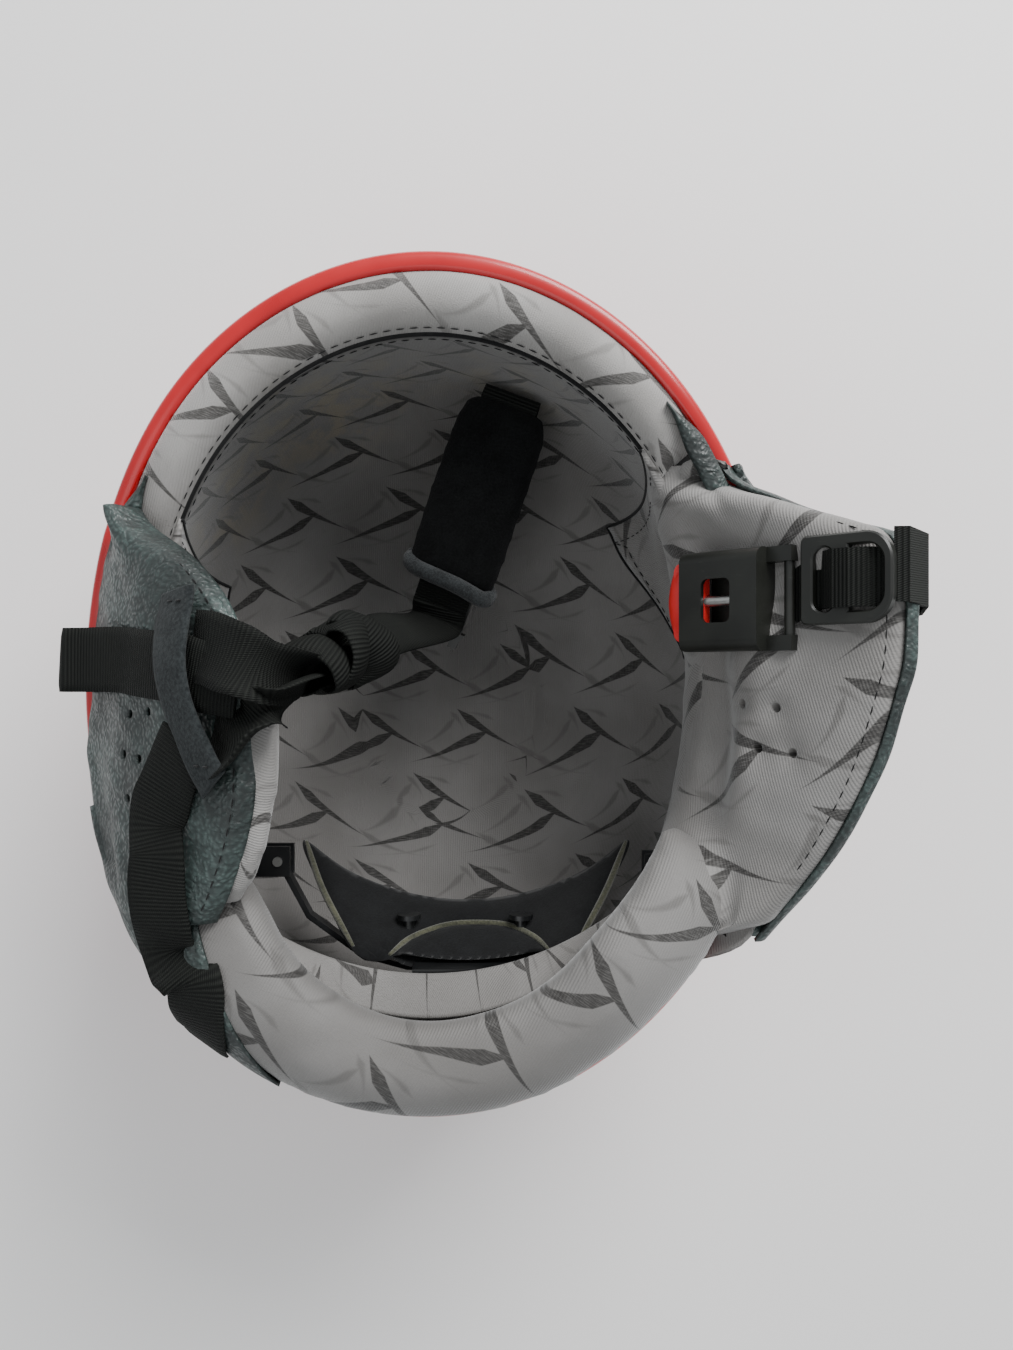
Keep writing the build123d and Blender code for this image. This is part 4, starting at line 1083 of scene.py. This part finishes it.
def make_left_flap():
    y = np.linspace(-82, 70, 110)
    face = left_section(y, 60)
    share = np.broadcast_to(np.linspace(0, 1, 60), face.shape[:2])
    normal = normals_of(face)
    corner = np.array([-88, -86, 131.0])
    away = np.linalg.norm(face - corner, axis=-1)
    bearing = np.arctan2(face[..., 1] - corner[1], corner[0] - face[..., 0] + 40)
    spoke = np.sin(17 * bearing + 1.5 * np.sin(5 * bearing))
    spoke = spoke * ease(away, 5, 25) * (1 - ease(away, 55, 110))
    hollow = np.zeros_like(away)
    for a, b in LEFT_HOLES:
        hole = flap_point(-1, a, b, -9.0)
        hollow += np.exp(-(np.linalg.norm(face - hole, axis=-1) / 4.2) ** 2)
    crown = np.sin(math.pi * np.clip(share, 0.02, 1)) ** 0.5
    crown = crown * (0.15 + 0.85 * ease(face[..., 1], -86, -66))
    puff = 1.9 * spoke + 1.1 * ripple(face, 42, 51) + 0.35 * ripple(face, 13, 52) - 1.8 * hollow
    face = face + normal * (puff * crown)[..., None]
    depth = np.minimum(7.5, 0.5 + 22 * (1 - share)) * ease(share, -0.1, 0.15)
    back = face - normal * np.maximum(depth, 0.8)[..., None]
    lining = slab("ear_lining_left", face, back, fabric_left)
    bore(lining, [flap_point(-1, a, b, -8.0) for a, b in LEFT_HOLES], flap_normal(-1), 1.5, 8)
    lay_print(lining, flap_cloth(-1))
    span = flap_point(-1, 0, -2, 0), flap_point(-1, 0, 16, 0)
    crosses(lining, ["ear_flap_left"])

    # Leather on the outer face: it comes off the shell, covers the flap and shows as a thin edge.
    y = np.linspace(-82, 64, 90)
    reach = table(y, LEFT_REACH)
    angle = wall_angle(y, RIM_HEIGHT)
    edge = rim(angle)
    stations = [
        mirrored(wall(angle, edge - 8, -0.6)),
        mirrored(wall(angle, edge - 1, -0.7)),
        flap_point(-1, y, np.minimum(12, 0.4 * reach) + 4, 4.6),
        flap_point(-1, y, 0.55 * reach + 2, 7.8),
        flap_point(-1, y, 0.85 * reach + 1, 6.4),
        flap_point(-1, y, reach + 1.8, 2.6),
        flap_point(-1, y, reach + 2.2, -0.5),
        flap_point(-1, y, reach + 1.0, -2.2),
    ]
    skin = smooth_rows(np.stack(stations, 1), 44)
    normal = normals_of(skin, -1)
    skin = skin + normal * (0.6 * ripple(skin, 22, 55))[..., None]
    cover = slab("ear_leather_left", skin, skin - normal * COVER, leather)
    bore(cover, [flap_point(-1, a, b, 7.0) for a, b in LEFT_HOLES], flap_normal(-1), 1.4, 10)
    crosses(cover, ["ear_flap_cover_left"])
    line = flap_point(-1, y[8:-14], reach[8:-14] - 2.5, -7.2)
    seam = stitches("ear_stitches_left", line, thread, size=0.24)
    crosses(seam)


# ---------------------------------------------------------------- straps
WEB = 19.5
WEB_THICK = 1.5
FRONT_Y = -21.1


def leather_top(y, height, lift):
    """Point above the right leather at a height up the flap."""
    return flap_point(1, y, height, 13.2 + lift)


def make_right_straps():
    along_y = (0.05, 1, 0)
    path = [(107.6, FRONT_Y, 126), (109.4, FRONT_Y, 133), (112.0, FRONT_Y, 137.5), (110.6, FRONT_Y, 141.2),
            (104.5, FRONT_Y, 142.4)]
    run = [(0, 10, 1.4), (1, 22, 1.8), (2, 34, 1.6), (3, 44, 1.4), (5, 53, 0.6)]
    path += [leather_top(FRONT_Y + a, b, lift) for a, b, lift in run] + [(47.5, -14.5, 179.8)]
    strap = band("strap_right_front", path, [along_y] * len(path), WEB, WEB_THICK, webbing, 110)
    crosses(strap, ["strap_front_right", "strap_anchor_front_right"])

    places = [(53.5, 4), (52.5, 22), (50.5, 42), (47.5, 62)]
    rear = [roll_point(np.radians(a), np.radians(b), 2.8) for a, b in places]
    rear += [(72.5, 63, 159.5), (73.5, 54, 163.5), (74, 44, 165.8), (73.5, 34, 167.2)]
    run = [(25, 34, 3.0), (16, 38, 2.6), (8, 42, 1.8), (1, 46, 1.0)]
    rear += [leather_top(a, b, lift) for a, b, lift in run]
    slope = [(0.72, -0.68, 0.1)] * 3 + [
        (0.85, -0.5, 0), (0.93, -0.25, -0.1), (0.97, -0.1, -0.15), (0.97, 0.0, -0.2), (0.95, 0.15, -0.3),
        (0.9, 0.35, -0.35), (0.85, 0.48, -0.38), (0.82, 0.52, -0.4), (0.8, 0.55, -0.4)]
    width = [17] * 4 + [17.5] * 4 + [18.5] * 4
    strap = band("strap_right_rear", rear, slope, width, WEB_THICK, webbing, 110)
    crosses(strap, ["strap_rear_right", "strap_anchor_rear_right"])

    run = [(-40, 40.5, 0.6), (-37, 41, 1.2), (-30, 41.5, 3.0), (-20, 42.5, 4.4), (-10, 45, 4.0),
           (0, 49.5, 2.6), (8, 54.5, 1.6), (13, 58, 0.6)]
    path = [leather_top(a, b, lift) for a, b, lift in run]
    across = [flap_point(1, 0, -1, 0) - flap_point(1, 0, 0, 0)] * len(path)
    width = [15, 15.5, 16, 15, 14, 13.5, 14, 15]
    keeper = band("suede_keeper", path, across, width, 1.6, suede, 70, fold=-0.5)
    belongs(keeper, "flap_right", ["strap_keeper_right"])
    for name, place in (("front", path[1]), ("back", path[-2])):
        line = np.linspace(place - np.array([4.6, 0, -3.9]), place + np.array([4.6, 0, -3.9]), 12)
        line = line + np.array([0.7, 0, 0.9])
        belongs(stitches(f"keeper_stitches_{name}", line, thread, size=0.3), "flap_right")


def make_left_straps():
    """The rear strap of the open flap, tucked against the leather on its way down to the shell."""
    run = [(15, 30, 9.0), (24, 25, 9.0), (34, 19, 8.6), (44, 12, 7.6), (53, 5, 6.0)]
    path = [flap_point(-1, a, b, out) for a, b, out in run] + [(-88, 62, 135.5), (-84.5, 68, 128)]
    slope = [(0.55, 0.6, -0.5)] * 5 + [(0.7, 0.7, 0.0), (0.7, 0.7, 0.1)]
    strap = band("strap_left_rear", path, slope, [17, 17, 16, 15, 14, 13, 13], WEB_THICK, webbing, 70)
    span = flap_point(-1, 0, -4, 0), flap_point(-1, 0, 12, 0)
    crosses(strap, ["strap_rear_left", "strap_anchor_rear_left"])


def make_chin_strap():
    """Main run of the chin strap, from under the keeper through a loose twist to the pad."""
    path = [(62, -24.5, 171), (55, -23.5, 178), (47, -20.5, 183), (39.5, -17, 181), (32.5, -17.5, 168),
            (26, -21, 152), (20.5, -25, 136), (14, -31, 121), pad_point(0, 16, 3.2), pad_point(0, 9.5, 1.2)]
    turn = [(0.1, 1, 0.05), (0.1, 1, 0.1), (0.15, 1, 0.15), (0.3, 0.9, 0.3), (0.6, 0.65, 0.3),
            (0.8, 0.2, 0.1), (0.75, -0.35, -0.3), (0.72, -0.65, -0.2), (0.9, -0.42, 0.0),
            (0.94, -0.33, 0.05)]
    width = [20, 20, 19.5, 17, 15, 14, 16, 18, 19.5, 20]
    fold = [0.6, 1.2, 2.2, 3.6, 4.0, 3.6, 3.0, 2.2, 1.0, 0.3]
    main = band("chin_webbing", path, turn, width, WEB_THICK, webbing, 130, fold)
    crosses(main, ["chin_strap"])
    # Turns of the same webbing drawn round the run where it is knotted.
    wraps = [(-8.0, 0.45, 0.98, 0.2), (0.5, -0.35, 1.06, 2.4), (8.5, 0.5, 0.86, 4.2)]
    axis = np.array([0.50, 0.30, 0.81])
    axis /= np.linalg.norm(axis)
    for number, (height, tilt, size, begin) in enumerate(wraps):
        centre = np.array([25.0, -22.6, 152.5]) + height * axis
        first = np.cross(axis, (0, 1, tilt))
        first /= np.linalg.norm(first)
        second = np.cross(axis, first)
        loop, across = [], []
        for step in np.linspace(begin, begin + 2 * math.pi + 0.8, 15):
            swing = 9.6 * size * (1 + 0.14 * math.sin(2 * step + number))
            sideways = first * math.cos(step) * swing * 0.8
            loop.append(centre + sideways + second * math.sin(step) * swing * 1.05
                        + axis * (tilt * 7 * math.sin(step)))
            across.append(axis + 0.5 * first * math.sin(step + number))
        turn_piece = band(f"chin_knot_{number + 1}", loop, across, [14, 17, 15, 17, 12], WEB_THICK, webbing,
                          110, [0.6, 2.6, 1.0, 2.8, 0.5])
        belongs(turn_piece, "chin_strap")
    # The strap doubles back beside the keeper and goes in again under the knot.
    path = [(60, 3, 168.5), (54.5, 3.5, 175), (48.5, 1, 180.5), (42, -5, 182), (36, -11, 177),
            (31, -15, 165)]
    turn = [(0.3, 0.9, 0.1), (0.2, 0.95, 0.15), (0.3, 0.9, 0.3), (0.5, 0.75, 0.4), (0.6, 0.65, 0.4),
            (0.7, 0.5, 0.2)]
    second = band("chin_webbing_return", path, turn, [17, 18, 18, 16, 13, 11], WEB_THICK, webbing, 60,
                  [0.8, 2.0, 3.0, 3.4, 3.0, 2.2])
    crosses(second)


# ---------------------------------------------------------------- chin pad
PAD_WIDTH, PAD_LENGTH, PAD_THICK = 33.0, 66.0, 10.0


def make_chin_pad():
    across, along = grids(np.linspace(-1, 1, 30), np.linspace(0, 1, 56))
    round_end = np.sqrt(np.maximum(1 - ease(along, 0.78, 1.06) ** 2 * 0.55, 0))
    half = PAD_WIDTH / 2 * round_end * (1 + 0.035 * np.sin(3 * along + 0.6))
    crown = np.sqrt(np.maximum(1 - np.abs(across) ** 5, 0))
    crown = crown * np.sqrt(np.maximum(1 - (2 * along - 1) ** 16, 0))
    x, y = across * half, -along * PAD_LENGTH
    top, bottom = (pad_point(x, y, side * PAD_THICK / 2 * crown) for side in (1, -1))
    pad = slab("chin_fleece", top, bottom, fleece)
    inflate(pad, voxel=2.6, pressure=3.0, limit=1.6)
    belongs(pad, "chin_pad", ["chin_pad"])
    # The sleeve's mouth is turned back on itself.
    turn = np.linspace(0, 2 * math.pi, 60)
    ring = pad_point(15.4 * np.sign(np.cos(turn)) * np.abs(np.cos(turn)) ** 0.7,
                     -1.6 - 3.0 * np.cos(turn + 0.6) * 0.8 + 0.6 * np.sin(3 * turn),
                     4.6 * np.sign(np.sin(turn)) * np.abs(np.sin(turn)) ** 0.7)
    fold = tube("fleece_fold", ring, 3.0, fleece_fold, around=14)
    belongs(fold, "chin_pad")


# ---------------------------------------------------------------- buckle
def make_button_cap():
    """Rounded red end of the buckle's button, lens-shaped as seen from above."""
    low, high = (np.array(corner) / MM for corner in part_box("buckle_button"))
    lean = FLAP_LEAN[-1]
    centre = (low + high) / 2 + np.array([HINGE_X, 0, -HINGE_Z])
    lift = centre[0] * math.cos(lean) - centre[2] * math.sin(lean)
    tip = low[1] + high[1]
    outline = [(-12.6, 0), (-12, -1.6), (-8, -4.2), (0, -5.6), (8, -4.2), (12, -1.6), (12.6, 0), (9, 1.5),
               (-9, 1.5)]
    cap = outline_pad("button_cap", outline,
                      lambda a, b, out: flap_point(-1, tip / 2 + a, b - 2.2, -lift - out),
                      2.1, 2.1, button_red, power=2.4)
    belongs(cap, "button")


# ---------------------------------------------------------------- size adjuster
LONGEST_EDGE = 5                # edges of the pad's mesh are halved until they are about this short
CUT_ROUNDS = 4
FIT_PAD_BOW = 18.0              # the pad's ends stand this far forward of its middle


def make_fit_pad():
    low, high = (np.array(v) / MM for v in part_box("fit_pad"))
    middle_x = (low[0] + high[0]) / 2
    outline = [(-68, 84.5), (-50, 88), (-10, 89.5), (30, 88), (49, 84.5), (39, 103), (25, 123.5), (14, 122),
               (8, 112), (-2, 104.5), (-12, 102.5), (-24, 105), (-33, 113), (-38, 122), (-46, 124),
               (-58, 104)]
    loop = smooth_line(outline, 150, closed=True)
    half = (high[0] - low[0]) / 2

    def place(x, z, out):
        y = 59 - FIT_PAD_BOW * ((x - middle_x) / half) ** 2 + 0.45 * (z - 84)
        return np.stack([x, y + 2 - out, z], -1)
    work = bmesh.new()
    ring = [work.verts.new((a, b, 0)) for a, b in loop]
    work.faces.new(ring)
    bmesh.ops.triangulate(work, faces=work.faces)
    for _ in range(CUT_ROUNDS):
        longest = [e for e in work.edges if e.calc_length() > LONGEST_EDGE]
        bmesh.ops.subdivide_edges(work, edges=longest, cuts=1)
        bmesh.ops.triangulate(work, faces=work.faces)
    flat = np.array([v.co[:2] for v in work.verts])
    work.verts.index_update()
    tris = [[v.index for v in f.verts] for f in work.faces]
    work.free()
    gap = np.linalg.norm(flat[:, None] - loop[None], axis=-1).min(1)
    thick = 0.3 + 1.6 * np.sqrt(np.clip(gap / 4, 0, 1))
    front, back = (place(flat[:, 0], flat[:, 1], side * thick) for side in (1, -1))
    count = len(flat)
    faces = tris + [[a + count for a in reversed(t)] for t in tris]
    edge = list(range(len(loop)))
    faces += [[a, b, b + count, a + count] for a, b in zip(edge, edge[1:] + edge[:1])]
    pad = make_piece("neoprene_pad", np.concatenate([front, back]), faces, neoprene)
    belongs(pad, "fit_carriage", ["fit_pad"])
    rows = {
        "arch": [(14, 121.5), (8, 112), (-2, 104.5), (-12, 102.5), (-24, 105), (-33, 113), (-38, 121.5)],
        "right": [(48, 85), (39, 103), (25.5, 122.5)],
        "left": [(-67, 85), (-58, 104), (-47, 122.5)],
    }
    for name, points in rows.items():
        line = smooth_line(points, 50)
        path = place(line[:, 0], line[:, 1], 0.9)
        piping = tube(f"fit_piping_{name}", path, 1.15, piping_olive, taper=0.5)
        belongs(piping, "fit_carriage")


# ---------------------------------------------------------------- kept parts
def paint_kept():
    finishes = {
        foam: ["eps_liner"],
        webbing_wall: ["strap_anchor_front_left"],
        webbing_left: ["strap_front_left", "strap_end_left"],
        webbing_pad: ["chin_strap_end", "plug_strap_loop"],
        buckle_plastic: ["buckle_body", "buckle_plug", "strap_slider"],
        button_red: ["buckle_button"],
        black_plastic: ["fit_housing", "fit_housing_cover", "fit_wheel", "fit_bracket_left",
                        "fit_bracket_right", "fit_pad_studs", "ear_pad_studs", "fit_band_left",
                        "fit_band_right", "goggle_clip_base"],
        clip_rubber: ["goggle_clip_arm"],
        steel: ["buckle_latch", "buckle_spring", "fit_pin_left", "fit_pin_right", "goggle_clip_pin",
                "rivet_washers", "strap_rivets"],
    }
    for material, nodes in finishes.items():
        for node in nodes:
            paint(node, material)


# ---------------------------------------------------------------- stage
CAMERA_AT = (-0.024, -0.0165, 0.450)
FRAME_HEIGHT = 36.0             # of the camera's sensor, in millimetres
LENS_MM = 27.07
TABLE_HALF = 0.9
AIM = Vector((0, 0, 0.08))      # the lights point at the helmet's middle
LIGHTS = [                      # name, place, size and power
    ("window", (-0.55, -1.0, 0.85), 0.8, 31.0),
    ("fill", (0.5, 0.5, 1.2), 0.9, 3.0),
]


def make_stage():
    mesh = bpy.data.meshes.new("table")
    corners = [(x * TABLE_HALF, y * TABLE_HALF, 0) for x, y in ((-1, -1), (1, -1), (1, 1), (-1, 1))]
    mesh.from_pydata(corners, [], [[0, 1, 2, 3]])
    floor = bpy.data.objects.new("table", mesh)
    scene.collection.objects.link(floor)
    floor.location.z = -0.0004
    sh = Shader("table_top", Roughness=0.7, Specular_IOR_Level=0.2)
    cloud = sh.noise(sh.place(), 6.0, 2.0)
    mesh.materials.append(sh.finish(color=sh.mix(cloud, gray(0.86, 0.012), gray(0.90, 0.012))))

    camera = bpy.data.objects.new("camera", bpy.data.cameras.new("camera"))
    scene.collection.objects.link(camera)
    camera.location = CAMERA_AT
    camera.rotation_euler = (0, 0, math.pi)
    camera.data.sensor_fit = "VERTICAL"
    camera.data.sensor_height = FRAME_HEIGHT
    camera.data.lens = LENS_MM
    camera.data.clip_start = 0.01
    scene.camera = camera

    scene.world = bpy.data.worlds.new("room")
    scene.world.use_nodes = True
    sky = scene.world.node_tree.nodes["Background"]
    sky.inputs["Color"].default_value = (0.93, 0.97, 1.0, 1)
    sky.inputs["Strength"].default_value = 0.68
    for name, at, size, power in LIGHTS:
        light = bpy.data.objects.new(name, bpy.data.lights.new(name, "AREA"))
        scene.collection.objects.link(light)
        light.location = at
        light.data.size = size
        light.data.energy = power
        light.rotation_euler = (AIM - Vector(at)).to_track_quat("-Z", "Y").to_euler()


make_stage()
make_shell()
make_liner()
make_brow()
for flap_side in (1, -1):
    make_side_panel(flap_side)
make_trim(1, -78, -54)
make_trim(-1, -100, -66)
make_neck_roll()
make_rear_skirt()
make_right_flap()
make_left_flap()
make_right_straps()
make_left_straps()
make_chin_strap()
make_chin_pad()
make_button_cap()
make_fit_pad()
paint_kept()
